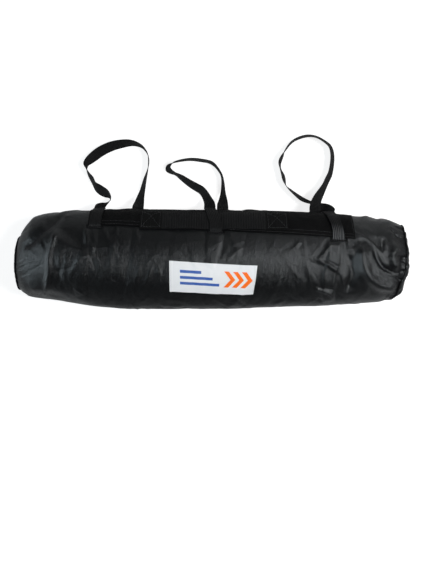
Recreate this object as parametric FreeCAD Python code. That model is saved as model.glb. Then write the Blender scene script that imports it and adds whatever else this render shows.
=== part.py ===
# Packed vehicle awning: a soft bag with hanging straps, its zip, and the rolled sheet, poles and pegs in it.
# Millimetres. X runs along the bag, +Y towards the strap loops, +Z up from the surface that it lies on.
import FreeCAD, Part
import math
import os

Vector = FreeCAD.Vector

# The poles' sections set the length of the bag, the roll and the zip
pole_length = 720.0
end_room = 58.0
zip_end = 98.0
slider_from_end = 20.0

# Bag, packed and lying label side up
bag_length = pole_length + 2 * end_room
bag_height = 140.0
bag_front = 102.0
bag_back = 108.0
bag_wall = 1.0
rim_height = 62.0
end_bulge = 8.0
end_round = 16.0

# Underside: each lower edge is an arc, and the front one is the same all along the zip
lower_radius = 50.0
lower_place = 40.0
flank_angle = 25.0
shoulder_angle = 45.0

# Layers of cloth and webbing lie this far apart, the straps inside the bag a little further
layer_gap = 0.3
inner_gap = 0.5

# How far a cutter reaches past what it cuts
overshoot = 2.0
band_thickness = 1.2
webbing_thickness = 1.5

# Band along the back of the top, its place in degrees round the bag: 0 is the back edge, 90 the top
band_left = -262.0
band_right = 296.0
band_back_angle = -16.0
band_front_angle = 62.0
band_slant = 0.027
slant_steps = 8

# Hanging straps
strap_width = 25.0
slot_play = 1.5
slot_height = 3.6
welt_margin = 6.0
welt_height = 11.0
welt_thickness = 0.8
back_welt_margin = 2.25
back_slot_angle = -6.0
slot_drop_angle = 0.6
root_stand_off = 4.6
hinge_play = 0.9
leg_set_back = 0.7
leg_rise = 8.0
front_run_angle = 14.0
front_run_steps = 12
under_run_steps = 34
back_run_steps = 14

# Carry handle
handle_left = -153.0
handle_right = 158.0
handle_back_angle = 33.0
handle_front_angle = 60.0

# Label: left and right end, and the slant of its long edges in degrees round the bag
label_left = -90.0
label_right = 92.0
label_top_angle = 94.5
label_width_angle = 29.5
label_slant = 0.028
label_thickness = 0.6

# Zip along the lower front
zip_length = bag_length - 2 * zip_end
zip_angle = 222.0
zip_slit = 10.0
zip_mouth_spare = 3.0
tape_fade_angle = 8.0
tape_width = 13.0
tape_thickness = 0.8
coil_width = 2.2
coil_thickness = 1.8
coil_gap = 0.3
stop_length = 5.0
stop_margin = 0.4
slider_place = zip_length / 2 - slider_from_end
slider_length = 16.0
slider_wall = 1.5
slider_play = 0.4
slider_seat = 0.1
slider_corner = 1.2
ear_length = 4.4
ear_thickness = 1.4
ear_play = 0.3
pin_rise = 2.0
pull_length = 17.0
pull_width = 6.0
pull_thickness = 1.8
pull_corner = 1.5
pull_pin_radius = 0.9
pull_pin_play = 0.08
pull_eye_wall = 0.9
pull_neck_width = 1.6
pull_neck_length = 3.5

# Contents
sheet_length = pole_length
sheet_radius = 55.0
sheet_place = -24.0
sheet_core = 13.0
sheet_pitch = 4.0
sheet_thickness = 3.0
eyelet_radius = 10.0
eyelet_hole = 5.0
eyelet_flange = 1.0
eyelet_wall = 1.0
eyelet_inset = 22.0
eyelet_angle = 70.0
eyelet_depth = 3.0
pole_radius = 9.5
pole_wall = 1.5
pole_place = 22.5
pole_insert = 60.0
pole_fit = 0.2
foot_length = 8.0
foot_plug = 22.0
spike_radius = 3.0
spike_length = 28.0
pouch_length = 236.0
pouch_width = 44.0
pouch_height = 26.0
pouch_wall = 1.0
pouch_round = 6.0
pouch_gap = 1.5
peg_radius = 3.0
peg_length = 200.0
peg_hook = 12.0
peg_tip = 0.5
peg_count = 6

# Along the bag: the sewn end seams, the round corners, the shoulders and the full middle
seam = bag_length / 2
corner_middle = seam - 15
corner = seam - 32
shoulder = seam - 93
full_left = -180.0
full_right = 40.0
waist = 200.0


def row(x, front_less, back_less, top_less, rim_less, lower_less, radius_less, lift):
    """Sizes of the bag's cross section at x, less than at its full middle by the given amounts."""
    return dict(x=x, front=bag_front - front_less, back=bag_back - back_less,
                top=bag_height - top_less, rim=rim_height - rim_less,
                lower=lower_place - lower_less, radius=lower_radius - radius_less, lift=lift)


ROWS = [
    row(-seam, 39, 58, 46, 12, 6, 26, 14),
    row(-corner_middle, 26, 34, 30, 10, 4, 14, 5),
    row(-corner, 19, 14, 20, 7, 4, 5, 0),
    row(-shoulder, 10, 4, 10, 3, 0, 0, 0),
    row(full_left, 0, 0, 1, 0, 0, 0, 0),
    row(full_right, 0, 1, 0, 0, 0, 0, 0),
    row(waist, 4, 5, 3, 0, 0, 0, 0),
    row(shoulder, 7, 15, 9, 2, 0, 0, 0),
    row(corner, 18, 20, 22, 6, 4, 6, 0),
    row(corner_middle, 32, 28, 32, 10, 10, 14, 5),
    row(seam, 58, 50, 46, 12, 26, 28, 14),
]


def row_at(x):
    """The cross section's sizes anywhere along the bag, straight between the rows."""
    for low, high in zip(ROWS, ROWS[1:]):
        if x <= high["x"]:
            break
    share = (x - low["x"]) / (high["x"] - low["x"])
    return {name: low[name] + share * (high[name] - low[name]) for name in low}


def arcs_at(x):
    """The bag's outline at x as tangent arcs: centre y, centre z, radius, first and last angle.

    The angle is that of the outward normal: 0 at the back edge, 90 at the top, 180 at the front
    edge, 270 below. Between the front's side arc and its lower arc the outline runs straight, at
    the flank angle, and so it does along the underside.
    """
    size = row_at(x)
    lean_cos = math.cos(math.radians(flank_angle))
    lean_sin = math.sin(math.radians(flank_angle))
    slope_cos = math.cos(math.radians(shoulder_angle))
    slope_sin = math.sin(math.radians(shoulder_angle))
    lower_z = size["lift"] + size["radius"]
    base = lower_z - (size["radius"] + lean_cos * (size["lower"] - size["front"])) / lean_sin
    rise = (1 - lean_cos) / lean_sin
    front_full = (size["top"] - base) / (rise + slope_sin)
    front_share = (1 - slope_sin) / (rise + slope_sin)
    back_full = (size["top"] - size["rim"]) / slope_sin
    back_share = (1 - slope_sin) / slope_sin
    width = size["front"] + size["back"]
    top_radius = width - (1 - slope_cos) * (front_full + back_full)
    top_radius /= 2 * slope_cos - (1 - slope_cos) * (front_share + back_share)
    front_side = front_full - front_share * top_radius
    back_side = back_full - back_share * top_radius
    back_radius = size["rim"] - size["lift"]
    middle = size["back"] - back_side - (top_radius - back_side) * slope_cos
    return [
        (size["back"] - back_radius, size["rim"], back_radius, -90, 0),
        (size["back"] - back_side, size["rim"], back_side, 0, shoulder_angle),
        (middle, size["top"] - top_radius, top_radius, shoulder_angle, 180 - shoulder_angle),
        (front_side - size["front"], base + rise * front_side, front_side,
         180 - shoulder_angle, 180 + flank_angle),
        (-size["lower"], lower_z, size["radius"], 180 + flank_angle, 270),
    ]


def on_arc(x, arc, angle, grow):
    """A point of one arc of the outline, moved outwards by grow."""
    turn = math.radians(angle)
    reach = arc[2] + grow
    return Vector(x, arc[0] + reach * math.cos(turn), arc[1] + reach * math.sin(turn))


def on_bag(x, angle, grow=0.0):
    """A point on the bag's outside at this angle, moved outwards by grow."""
    for arc in arcs_at(x):
        if angle <= arc[4]:
            break
    return on_arc(x, arc, angle, grow)


def outward(angle):
    """The outward direction at this angle."""
    return Vector(0, math.cos(math.radians(angle)), math.sin(math.radians(angle)))


def arc_edge(x, arc, first, last, grow):
    """Part of one arc of the outline, moved outwards by grow."""
    ends = [on_arc(x, arc, angle, grow) for angle in (first, (first + last) / 2, last)]
    return Part.Arc(*ends).toShape()


def side_face(first, second):
    """A face between two edges: a plane where both are straight and lie in one, else a ruled face."""
    start, end = first.Vertexes[0].Point, first.Vertexes[-1].Point
    after_start, after_end = second.Vertexes[0].Point, second.Vertexes[-1].Point
    normal = (end - start).cross(after_start - start)
    straight = isinstance(first.Curve, Part.Line) and isinstance(second.Curve, Part.Line)
    if straight and abs((after_end - start).dot(normal)) < 1e-6 * normal.Length:
        return Part.Face(Part.makePolygon([start, end, after_end, after_start, start]))
    return Part.makeRuledSurface(first, second)


def solid_through(sections):
    """A solid with straight sides between sections, each a closed list of as many edges."""
    faces = [Part.Face(Part.Wire(sections[0])), Part.Face(Part.Wire(sections[-1]))]
    for near, far in zip(sections, sections[1:]):
        faces += [side_face(first, second) for first, second in zip(near, far)]
    shell = Part.makeShell(faces)
    shell.sewShape()
    solid = Part.makeSolid(Part.Shell(shell.Faces))
    if solid.Volume < 0:
        solid.reverse()
    return solid


def closed_lines(corners):
    """Straight edges round a closed list of corners."""
    following = corners[1:] + corners[:1]
    return [Part.LineSegment(start, end).toShape() for start, end in zip(corners, following)]


# A straight run follows the front side's arc, down the flank, and the lower arc, along the underside
straight_after = (3, 4)


def outline(x, grow=0.0, place=None):
    """The whole outline of the cross section at x as a closed list of edges, drawn at place along X."""
    if place is None:
        place = x
    arcs = arcs_at(x)
    edges = []
    for index, arc in enumerate(arcs):
        edges.append(arc_edge(place, arc, arc[3], arc[4], grow))
        after = arcs[(index + 1) % len(arcs)]
        start = on_arc(place, arc, arc[4], grow)
        end = on_arc(place, after, after[3], grow)
        if index in straight_after:
            edges.append(Part.LineSegment(start, end).toShape())
    return edges


def strip_edges(x, first, last, low, high):
    """A thin closed profile at x between two angles and two heights over the bag's outside."""
    pieces = []
    for arc in arcs_at(x):
        start = max(first, arc[3])
        end = min(last, arc[4])
        if end - start > 0.01:
            pieces.append((arc, start, end))
    edges = [arc_edge(x, arc, start, end, high) for arc, start, end in pieces]
    edges.append(Part.LineSegment(on_bag(x, last, high), on_bag(x, last, low)).toShape())
    edges += [arc_edge(x, arc, end, start, low) for arc, start, end in reversed(pieces)]
    edges.append(Part.LineSegment(on_bag(x, first, low), on_bag(x, first, high)).toShape())
    return edges


def skin(x_from, x_to, first, last, low, high, first_slant=0.0, last_slant=0.0):
    """A layer that follows the bag between two places along it and two angles round it.

    Each long edge may slant: its angle then changes by so much for each millimetre along the bag.
    """
    places = {x_from, x_to}
    places.update(size["x"] for size in ROWS if x_from < size["x"] < x_to)
    if first_slant or last_slant:
        places.update(x_from + (x_to - x_from) * step / slant_steps for step in range(1, slant_steps))
    return solid_through([strip_edges(x, first + first_slant * x, last + last_slant * x, low, high)
                          for x in sorted(places)])


def webbing(stops, width, thickness):
    """Webbing along stops of centre point and width direction, mitred at each turn."""
    sections = []
    for index, (centre, across) in enumerate(stops):
        before = stops[max(index - 1, 0)][0]
        after = stops[min(index + 1, len(stops) - 1)][0]
        came = (centre - before) if index else (after - centre)
        goes = (after - centre) if index < len(stops) - 1 else came
        came = came.normalize()
        goes = Vector(goes).normalize()
        ahead = (came + goes).normalize()
        stretch = 1 / math.sqrt(max(0.5 * (1 + came.dot(goes)), 0.4))
        across = (across - ahead * across.dot(ahead)).normalize()
        up = across.cross(ahead) * (thickness / 2 * stretch)
        side = across * (width / 2)
        sections.append(closed_lines([centre + side + up, centre - side + up,
                                      centre - side - up, centre + side - up]))
    return solid_through(sections)


def block(corner_low, corner_high):
    """A plain block between two opposite corners."""
    size = corner_high - corner_low
    return Part.makeBox(size.x, size.y, size.z, corner_low)


def edges_along(shape, axis):
    """A block's straight edges along one axis, "X", "Y" or "Z"."""
    others = [name + "Length" for name in "XYZ" if name != axis]
    return [edge for edge in shape.Edges if all(getattr(edge.BoundBox, name) < 0.01 for name in others)]


def cylinder_along(start, direction, radius, length):
    """A plain cylinder from start in this direction."""
    return Part.makeCylinder(radius, length, start, direction)


# Each hanging strap: where it goes in at the front, where its loop's two legs leave the back edge,
# how far its front run stands over the band, and the loop's course on the floor as steps from its
# front leg: along X, away from the bag, height of its middle, and lean (0 and 180 flat, 90 on edge,
# under 90 with the outer edge up)
STRAPS = {
    "left": dict(slot=-247.0, root=-245.0, back=-163.0, lift=0.0, loop=[
        (0, 4, 47, 172), (4, 8, 37, 152), (8, 12, 28, 128), (13, 17, 20, 108), (16, 24, 14.5, 95),
        (14, 31, 12.5, 92), (7, 37, 12.5, 98), (-3, 43, 12.5, 108), (-12, 50, 12.5, 110),
        (-19, 58, 12.5, 112), (-24, 69, 12.5, 114),
        (-31, 79, 12.5, 105), (-36, 90, 12.5, 96), (-38, 101, 12.5, 78), (-31, 110, 12.5, 66),
        (-19, 121, 11.5, 56), (-2, 133, 11, 54), (21, 144, 11, 56), (45, 150, 11.5, 60), (66, 150, 12, 66),
        (84, 144, 12.5, 76), (94, 134, 12.5, 78), (101, 121, 12.5, 82), (102, 104, 12.5, 84),
        (99, 87, 12.5, 80), (94, 70, 12.5, 70), (89, 46, 15, 60), (85, 28, 23, 46), (83, 14, 34, 28),
        (82, 6, 46, 10)]),
    "middle": dict(slot=6.0, root=-7.0, back=21.0, lift=webbing_thickness + layer_gap, loop=[
        (0, 4, 47, 176), (-1, 11, 36, 158), (-5, 21, 25, 138), (-11, 33, 17, 130), (-19, 43, 14, 128),
        (-31, 50, 12.5, 126), (-46, 59, 12.5, 120), (-63, 71, 12.5, 111), (-76, 79, 12.5, 96),
        (-85, 86, 12.5, 98), (-91, 94, 12.5, 104), (-90, 101, 12.5, 104), (-81, 108, 12.5, 98),
        (-68, 113, 12.5, 92), (-50, 116, 12.5, 83), (-34, 116, 12.5, 79), (-19, 114, 12.5, 80),
        (-6, 112, 12.5, 82), (5, 107, 12.5, 76), (14, 99, 12.5, 80), (22, 86, 12.5, 82), (27, 73, 12.5, 80),
        (29, 55, 12.5, 76), (29, 36, 17, 66), (29, 20, 28, 44), (28, 8, 43, 16)]),
    "right": dict(slot=262.0, root=257.0, back=222.0, lift=0.0, loop=[
        (0, 4, 47, 176), (-8, 9, 36, 158), (-21, 16, 22, 124), (-34, 22, 14, 110), (-48, 26, 12.5, 114),
        (-61, 32, 12.5, 118), (-74, 42, 12.5, 112), (-86, 52, 12.5, 106), (-95, 61, 12.5, 97),
        (-99, 73, 12.5, 110), (-102, 86, 12.5, 110), (-107, 98, 12.5, 100), (-109, 109, 12.5, 104),
        (-107, 118, 12.5, 106), (-101, 130, 12.5, 98), (-97, 138, 12.5, 86), (-89, 150, 12.5, 81),
        (-79, 160, 12.5, 75), (-63, 168, 12, 70), (-44, 172, 12, 69), (-26, 169, 12, 70),
        (-10, 160, 12.5, 75), (2, 149, 12.5, 76), (6, 133, 12.5, 76), (6, 113, 12.5, 75),
        (2, 89, 12.5, 70), (-3, 74, 13, 66),
        (-9, 61, 15.5, 60), (-17, 47, 21, 50), (-25, 34, 29, 38), (-31, 22, 37, 26), (-34, 12, 45, 14),
        (-35, 5, 50, 6)]),
}


def half_angle(width, radius):
    """Half the angle, in degrees, that a width takes up round this radius."""
    return math.degrees(width / 2 / radius)


def band_edge(x):
    """Angle of the band's front edge at x."""
    return band_front_angle + band_slant * x


def slot_angle(x):
    """Angle of a front slot, just below the band's front edge."""
    return band_edge(x) + half_angle(welt_height, arcs_at(x)[2][2]) + slot_drop_angle


def hinge_of(strap):
    """A point on the line that the strap's loop turns about, level with its two legs."""
    edge = max(row_at(strap["root"])["back"], row_at(strap["back"])["back"])
    level = on_bag(strap["back"], back_slot_angle).z
    return Vector(strap["root"], edge + root_stand_off + strap["lift"], level)


def under_tape(angle):
    """How much deeper a strap runs inside the bag where it passes under the zip's tapes."""
    reach = math.degrees((tape_width + webbing_thickness) / lower_radius)
    share = (reach + tape_fade_angle - abs(angle - zip_angle)) / tape_fade_angle
    return (tape_thickness + layer_gap) * min(max(share, 0.0), 1.0)


def strap_wrap(strap):
    """The strap's fixed part: over the band, in at the front, round the roll and out at the back.

    On top it has moved sideways to its slot by three quarters of the run, and inside it moves
    sideways over all but the first and last stretch.
    """
    run = 2 * layer_gap + band_thickness + webbing_thickness / 2 + strap["lift"]
    inner = -bag_wall - inner_gap - webbing_thickness / 2
    hinge = hinge_of(strap)
    across = Vector(1, 0, 0)
    entry = slot_angle(strap["slot"])

    def on_cloth(x, angle, height):
        """A stop on the bag's cloth, whose width direction follows the cloth."""
        near = on_bag(x - strap_width / 2, angle, height)
        far = on_bag(x + strap_width / 2, angle, height)
        return (near + far) * 0.5, far - near

    start_y = hinge.y - webbing_thickness / 2 - leg_set_back
    stops = [(Vector(strap["root"], start_y, hinge.z + hinge_play), across),
             (Vector(strap["root"], start_y, hinge.z + leg_rise), across)]
    for step in range(front_run_steps + 1):
        share = step / front_run_steps
        x = strap["root"] + min(share / 0.75, 1) * (strap["slot"] - strap["root"])
        stops.append(on_cloth(x, front_run_angle + share * (entry - front_run_angle), run))
    under = [entry + (270 - entry) * step / under_run_steps for step in range(under_run_steps + 1)]
    turned = back_slot_angle + 90
    behind = [-90 + turned * step / back_run_steps for step in range(back_run_steps + 1)]
    angles = under + behind
    for index, angle in enumerate(angles):
        share = 1.3 * index / (len(angles) - 1) - 0.15
        x = strap["slot"] + min(max(share, 0), 1) * (strap["back"] - strap["slot"])
        stops.append(on_cloth(x, angle, inner - under_tape(angle)))
    stops.append((Vector(strap["back"], hinge.y - hinge_play, hinge.z), across))
    return webbing(stops, strap_width, webbing_thickness)


def strap_loop(strap):
    """The strap's free loop, lying behind the bag."""
    hinge = hinge_of(strap)
    places = [Vector(hinge)]
    leans = [180]
    for along, away, height, lean in strap["loop"]:
        places.append(Vector(hinge.x + along, hinge.y + away, height))
        leans.append(lean)
    places.append(Vector(strap["back"], hinge.y, hinge.z))
    leans.append(0)
    clockwise = 1 if strap["back"] > strap["root"] else -1
    stops = []
    for index, place in enumerate(places):
        ahead = places[min(index + 1, len(places) - 1)] - places[max(index - 1, 0)]
        outer = Vector(-ahead.y, ahead.x, 0) * clockwise
        if index in (0, len(places) - 1) or outer.Length < 0.1:
            outer = Vector(-1 if index == 0 else 1, 0, 0) * clockwise
        outer.normalize()
        turn = math.radians(leans[index])
        stops.append((place, outer * math.cos(turn) + Vector(0, 0, 1) * math.sin(turn)))
    return webbing(stops, strap_width, webbing_thickness)


def front_slot(strap, low, high):
    """Cutter for a front slot."""
    half = half_angle(slot_height, arcs_at(strap["slot"])[2][2])
    reach = strap_width / 2 + slot_play
    angle = slot_angle(strap["slot"])
    return skin(strap["slot"] - reach, strap["slot"] + reach, angle - half, angle + half, low, high)


def back_slot(strap, low, high):
    """Cutter for a back slot."""
    half = half_angle(slot_height, rim_height)
    reach = strap_width / 2 + slot_play
    angle = back_slot_angle
    return skin(strap["back"] - reach, strap["back"] + reach, angle - half, angle + half, low, high)


def front_welt(strap):
    """The patch of cloth that binds a front slot."""
    half = half_angle(welt_height, arcs_at(strap["slot"])[2][2])
    reach = strap_width / 2 + welt_margin
    angle = slot_angle(strap["slot"])
    plate = skin(strap["slot"] - reach, strap["slot"] + reach, angle - half, angle + half,
                 layer_gap, layer_gap + welt_thickness)
    return plate.cut(front_slot(strap, -overshoot, layer_gap + welt_thickness + overshoot))


def back_welt(strap):
    """The patch of cloth that binds a back slot, on the band."""
    low = 2 * layer_gap + band_thickness
    half = half_angle(welt_height, rim_height)
    reach = strap_width / 2 + back_welt_margin
    plate = skin(strap["back"] - reach, strap["back"] + reach,
                 back_slot_angle - half, back_slot_angle + half, low, low + welt_thickness)
    return plate.cut(back_slot(strap, low - overshoot, low + welt_thickness + overshoot))


def bag_body():
    """The cloth tube, with its slots for the straps and the zip's mouth."""
    outer = solid_through([outline(size["x"]) for size in ROWS])
    inner = solid_through([outline(size["x"], -bag_wall) for size in ROWS])
    shell = outer.cut(inner)
    half = half_angle(zip_slit, lower_radius)
    mouth = zip_length / 2 + stop_length + zip_mouth_spare
    depth = -bag_wall - overshoot
    cutters = [skin(-mouth, mouth, zip_angle - half, zip_angle + half, depth, overshoot)]
    for strap in STRAPS.values():
        cutters.append(front_slot(strap, depth, overshoot))
        cutters.append(back_slot(strap, depth, overshoot))
    for cutter in cutters:
        shell = shell.cut(cutter)
    return shell


def end_panel(side):
    """The oval panel sewn into one end: its rim meets the tube, its middle bulges out."""
    place = side * seam
    outside = place + side * end_bulge
    inside = outside - side * bag_wall
    outer = solid_through([outline(place), outline(place, -end_round, outside)])
    inner = solid_through([outline(place, -bag_wall), outline(place, -end_round - bag_wall / 2, inside)])
    return outer.cut(inner)


def top_band():
    """The stiff band along the back of the top, which carries the straps and the handle."""
    band = skin(band_left, band_right, band_back_angle, band_front_angle,
                layer_gap, layer_gap + band_thickness, last_slant=band_slant)
    for strap in STRAPS.values():
        band = band.cut(back_slot(strap, -overshoot, band_thickness + overshoot))
    return band


def carry_handle():
    """Wide webbing sewn flat to the band at both ends."""
    low = 2 * layer_gap + band_thickness
    return skin(handle_left, handle_right, handle_back_angle, handle_front_angle,
                low, low + webbing_thickness)


def label_patch():
    """The woven label on the front."""
    return skin(label_left, label_right, label_top_angle, label_top_angle + label_width_angle,
                layer_gap, layer_gap + label_thickness, label_slant, label_slant)


def zip_strip(side, near, width, low, high, length):
    """A strip beside the zip's middle line: side -1 is the upper one, 1 the lower."""
    edges = [zip_angle + side * math.degrees(away / lower_radius) for away in (near, near + width)]
    return skin(-length / 2, length / 2, min(edges), max(edges), low, high)


# Heights of the zip's layers over the bag's outside
tape_top = -bag_wall - layer_gap
coil_bottom = tape_top + layer_gap
coil_top = coil_bottom + coil_thickness
coil_half = coil_gap / 2 + coil_width
slider_top = coil_top + slider_play + slider_wall
pin_height = slider_top + pin_rise


def zip_tape(side):
    """One of the two woven tapes, sewn in behind the mouth."""
    return zip_strip(side, coil_gap / 2, tape_width, tape_top - tape_thickness, tape_top,
                     zip_length + 2 * stop_length)


def zip_coil(side):
    """One of the two coils of teeth, as a plain bar of their outer size."""
    return zip_strip(side, coil_gap / 2, coil_width, coil_bottom, coil_top, zip_length)


def in_zip_frame(shape, place):
    """Moves a shape drawn with X along the zip, Y across it and Z outwards to its place on the bag."""
    middle = on_bag(place, zip_angle)
    normal = outward(zip_angle)
    across = normal.cross(Vector(1, 0, 0))
    matrix = FreeCAD.Matrix(1, 0, 0, middle.x,
                            0, across.y, normal.y, middle.y,
                            0, across.z, normal.z, middle.z,
                            0, 0, 0, 1)
    return shape.transformed(matrix, True)


def zip_stop(side):
    """The stop past one end of the coils."""
    half = coil_half + stop_margin
    bar = block(Vector(layer_gap, -half, coil_bottom),
                Vector(layer_gap + stop_length, half, coil_top + stop_margin))
    if side < 0:
        bar = bar.mirror(Vector(0, 0, 0), Vector(1, 0, 0))
    return in_zip_frame(bar, side * zip_length / 2)


def zip_slider():
    """The slider: a channel over the coils, with two ears and the pin that the pull hangs on."""
    inside = coil_half + slider_play
    outside = inside + slider_wall
    half = slider_length / 2
    body = block(Vector(-half, -outside, coil_bottom + slider_seat), Vector(half, outside, slider_top))
    body = body.makeFillet(slider_corner, edges_along(body, "Z"))
    body = body.cut(block(Vector(-half - overshoot, -inside, coil_bottom - overshoot),
                          Vector(half + overshoot, inside, coil_top + slider_play)))
    ear_y = pull_neck_width / 2 + ear_play
    for low in (ear_y, -ear_y - ear_thickness):
        ear = block(Vector(-ear_length / 2, low, slider_top - slider_wall / 2),
                    Vector(ear_length / 2, low + ear_thickness, pin_height + pull_pin_radius + pull_eye_wall))
        body = body.fuse(ear)
    pin_half = ear_y + ear_thickness
    pin = cylinder_along(Vector(0, -pin_half, pin_height), Vector(0, 1, 0), pull_pin_radius, 2 * pin_half)
    return in_zip_frame(body.fuse(pin).removeSplitter(), slider_place)


def zip_pull():
    """The slider's pull, hanging outwards and down from its pin."""
    half = Vector(pull_thickness / 2, pull_neck_width / 2, 0)
    centre = Vector(0, 0, pin_height)
    along = Vector(0, 1, 0)
    eye_start = centre - along * (pull_neck_width / 2)
    eye = cylinder_along(eye_start, along, pull_pin_radius + pull_eye_wall, pull_neck_width)
    stem = block(centre - half, centre + half + Vector(0, 0, pull_neck_length + pull_corner))
    wide = Vector(pull_thickness / 2, pull_width / 2, 0)
    plate = block(centre - wide + Vector(0, 0, pull_neck_length), centre + wide + Vector(0, 0, pull_length))
    plate = plate.makeFillet(pull_corner, edges_along(plate, "X"))
    bore_radius = pull_pin_radius + pull_pin_play
    bore = cylinder_along(centre - along * pull_width, along, bore_radius, 2 * pull_width)
    return in_zip_frame(eye.fuse(stem).fuse(plate).cut(bore).removeSplitter(), slider_place)


# The contents lie on the straps' inner runs
floor_height = bag_wall + inner_gap + webbing_thickness + layer_gap
sheet_middle = Vector(0, sheet_place, floor_height + sheet_radius)


def sheet_spiral(start_radius):
    """Half turns from the outside in, each with its own centre, as edges in the plane X = 0."""
    edges = []
    turns = int((sheet_radius - sheet_core) / sheet_pitch)
    radius = start_radius
    centre_y = sheet_middle.y
    down = 1
    for half in range(2 * turns):
        start = Vector(0, centre_y + down * radius, sheet_middle.z)
        end = Vector(0, centre_y - down * radius, sheet_middle.z)
        top = Vector(0, centre_y, sheet_middle.z - down * radius)
        edges.append(Part.Arc(start, top, end).toShape())
        radius -= sheet_pitch / 2
        centre_y -= down * sheet_pitch / 2
        down = -down
    return edges


def eyelet_frame(side):
    """Middle of an eyelet on the roll's outside, and its outward direction."""
    normal = outward(eyelet_angle)
    along = Vector(side * (sheet_length / 2 - eyelet_inset), 0, 0)
    return sheet_middle + along + normal * sheet_radius, normal


def awning_sheet():
    """The rolled sheet as one thick spiral layer, with a hole at each end of its free edge."""
    outer = sheet_spiral(sheet_radius)
    inner = sheet_spiral(sheet_radius - sheet_thickness)
    first = Part.LineSegment(inner[0].Vertexes[0].Point, outer[0].Vertexes[0].Point).toShape()
    last = Part.LineSegment(outer[-1].Vertexes[-1].Point, inner[-1].Vertexes[-1].Point).toShape()
    face = Part.Face(Part.Wire(Part.__sortEdges__([first] + outer + [last] + inner)))
    roll = face.extrude(Vector(sheet_length, 0, 0))
    roll.translate(Vector(-sheet_length / 2, 0, 0))
    for side in (-1, 1):
        middle, normal = eyelet_frame(side)
        hole = cylinder_along(middle - normal * (sheet_thickness + overshoot / 4), normal,
                              eyelet_hole + eyelet_wall + layer_gap, sheet_thickness + overshoot)
        roll = roll.cut(hole)
    return roll


def sheet_eyelets():
    """Brass eyelets in the sheet's two outer corners."""
    eyelets = []
    for side in (-1, 1):
        middle, normal = eyelet_frame(side)
        seat = middle + normal * layer_gap
        flange = cylinder_along(seat, normal, eyelet_radius, eyelet_flange)
        foot = seat - normal * eyelet_depth
        barrel = cylinder_along(foot, normal, eyelet_hole + eyelet_wall, eyelet_depth)
        bore = cylinder_along(foot - normal * overshoot, normal, eyelet_hole, eyelet_depth + 2 * overshoot)
        eyelets.append(flange.fuse(barrel).cut(bore))
    return Part.makeCompound(eyelets)


pole_step = 2 * pole_radius + layer_gap
pole_low = floor_height + pole_radius
POLES = {
    "lower": [(0, 0), (1, 0)],
    "middle": [(2, 1), (2, 2)],
    "upper": [(1, 1), (1, 2)],
}


def pole_axis(column, level):
    """A point on one tube's axis, by its column and level in the stack."""
    return Vector(0, pole_place + column * pole_step, pole_low + level * pole_step)


def pole_tubes(name):
    """Two tubes; all but the upper ones have a narrow end that slides into the next section."""
    tubes = []
    for column, level in POLES[name]:
        axis = pole_axis(column, level)
        start = axis - Vector(pole_length / 2, 0, 0)
        body = pole_length if name == "upper" else pole_length - pole_insert
        tube = cylinder_along(start, Vector(1, 0, 0), pole_radius, body)
        tube = tube.cut(cylinder_along(start, Vector(1, 0, 0), pole_radius - pole_wall, body))
        if name != "upper":
            held = pole_insert / 2
            neck_start = start + Vector(body - held, 0, 0)
            outside = pole_radius - pole_wall - pole_fit
            neck = cylinder_along(neck_start, Vector(1, 0, 0), outside, held + pole_insert)
            collar = cylinder_along(neck_start, Vector(1, 0, 0), pole_radius - pole_wall / 2, held)
            bore = cylinder_along(neck_start, Vector(1, 0, 0), outside - pole_wall, held + pole_insert)
            tube = tube.fuse(neck.fuse(collar).cut(bore)).removeSplitter()
        tubes.append(tube)
    return Part.makeCompound(tubes)


def pole_feet():
    """Plastic feet on the two lower sections."""
    feet = []
    for column, level in POLES["lower"]:
        end = pole_axis(column, level) - Vector(pole_length / 2, 0, 0)
        cap = cylinder_along(end, Vector(-1, 0, 0), pole_radius, foot_length)
        plug = cylinder_along(end, Vector(1, 0, 0), pole_radius - pole_wall - pole_fit / 2, foot_plug)
        feet.append(cap.fuse(plug))
    return Part.makeCompound(feet)


def pole_spikes():
    """Spikes on the two upper sections, which stand through the sheet's eyelets."""
    spikes = []
    for column, level in POLES["upper"]:
        end = pole_axis(column, level) + Vector(pole_length / 2, 0, 0)
        cap = cylinder_along(end, Vector(1, 0, 0), pole_radius, foot_length / 2)
        plug = cylinder_along(end, Vector(-1, 0, 0), pole_radius - pole_wall - pole_fit / 2, foot_plug)
        spike = cylinder_along(end, Vector(1, 0, 0), spike_radius, foot_length / 2 + spike_length)
        spikes.append(cap.fuse(plug).fuse(spike))
    return Part.makeCompound(spikes)


# The pouch lies on the upper poles, against the roll
pouch_low = Vector(-pouch_length / 2, sheet_place + sheet_radius + pouch_gap,
                   pole_low + 2 * pole_step + pole_radius + layer_gap)


def peg_pouch():
    """The closed cloth pouch that holds the pegs."""
    high = pouch_low + Vector(pouch_length, pouch_width, pouch_height)
    outer = block(pouch_low, high)
    outer = outer.makeFillet(pouch_round, edges_along(outer, "X"))
    wall = Vector(pouch_wall, pouch_wall, pouch_wall)
    inner = block(pouch_low + wall, high - wall)
    inner = inner.makeFillet(pouch_round - pouch_wall, edges_along(inner, "X"))
    return outer.cut(inner)


def pegs():
    """Steel pegs side by side in the pouch, each with a bent hook at one end."""
    pieces = []
    step = 2 * peg_radius + layer_gap
    middle_y = pouch_low.y + pouch_width / 2
    floor = pouch_low.z + pouch_wall + layer_gap + peg_radius
    for index in range(peg_count):
        y = middle_y + (index - (peg_count - 1) / 2) * step
        start = Vector(-peg_length / 2, y, floor)
        shaft = cylinder_along(start, Vector(1, 0, 0), peg_radius, peg_length)
        tip = start + Vector(peg_length, 0, 0)
        point = Part.makeCone(peg_radius, peg_tip, 3 * peg_radius, tip, Vector(1, 0, 0))
        hook = cylinder_along(start + Vector(peg_radius, 0, 0), Vector(0, 0, 1), peg_radius, peg_hook)
        pieces.append(shaft.fuse(point).fuse(hook).removeSplitter())
    return Part.makeCompound(pieces)


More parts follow.
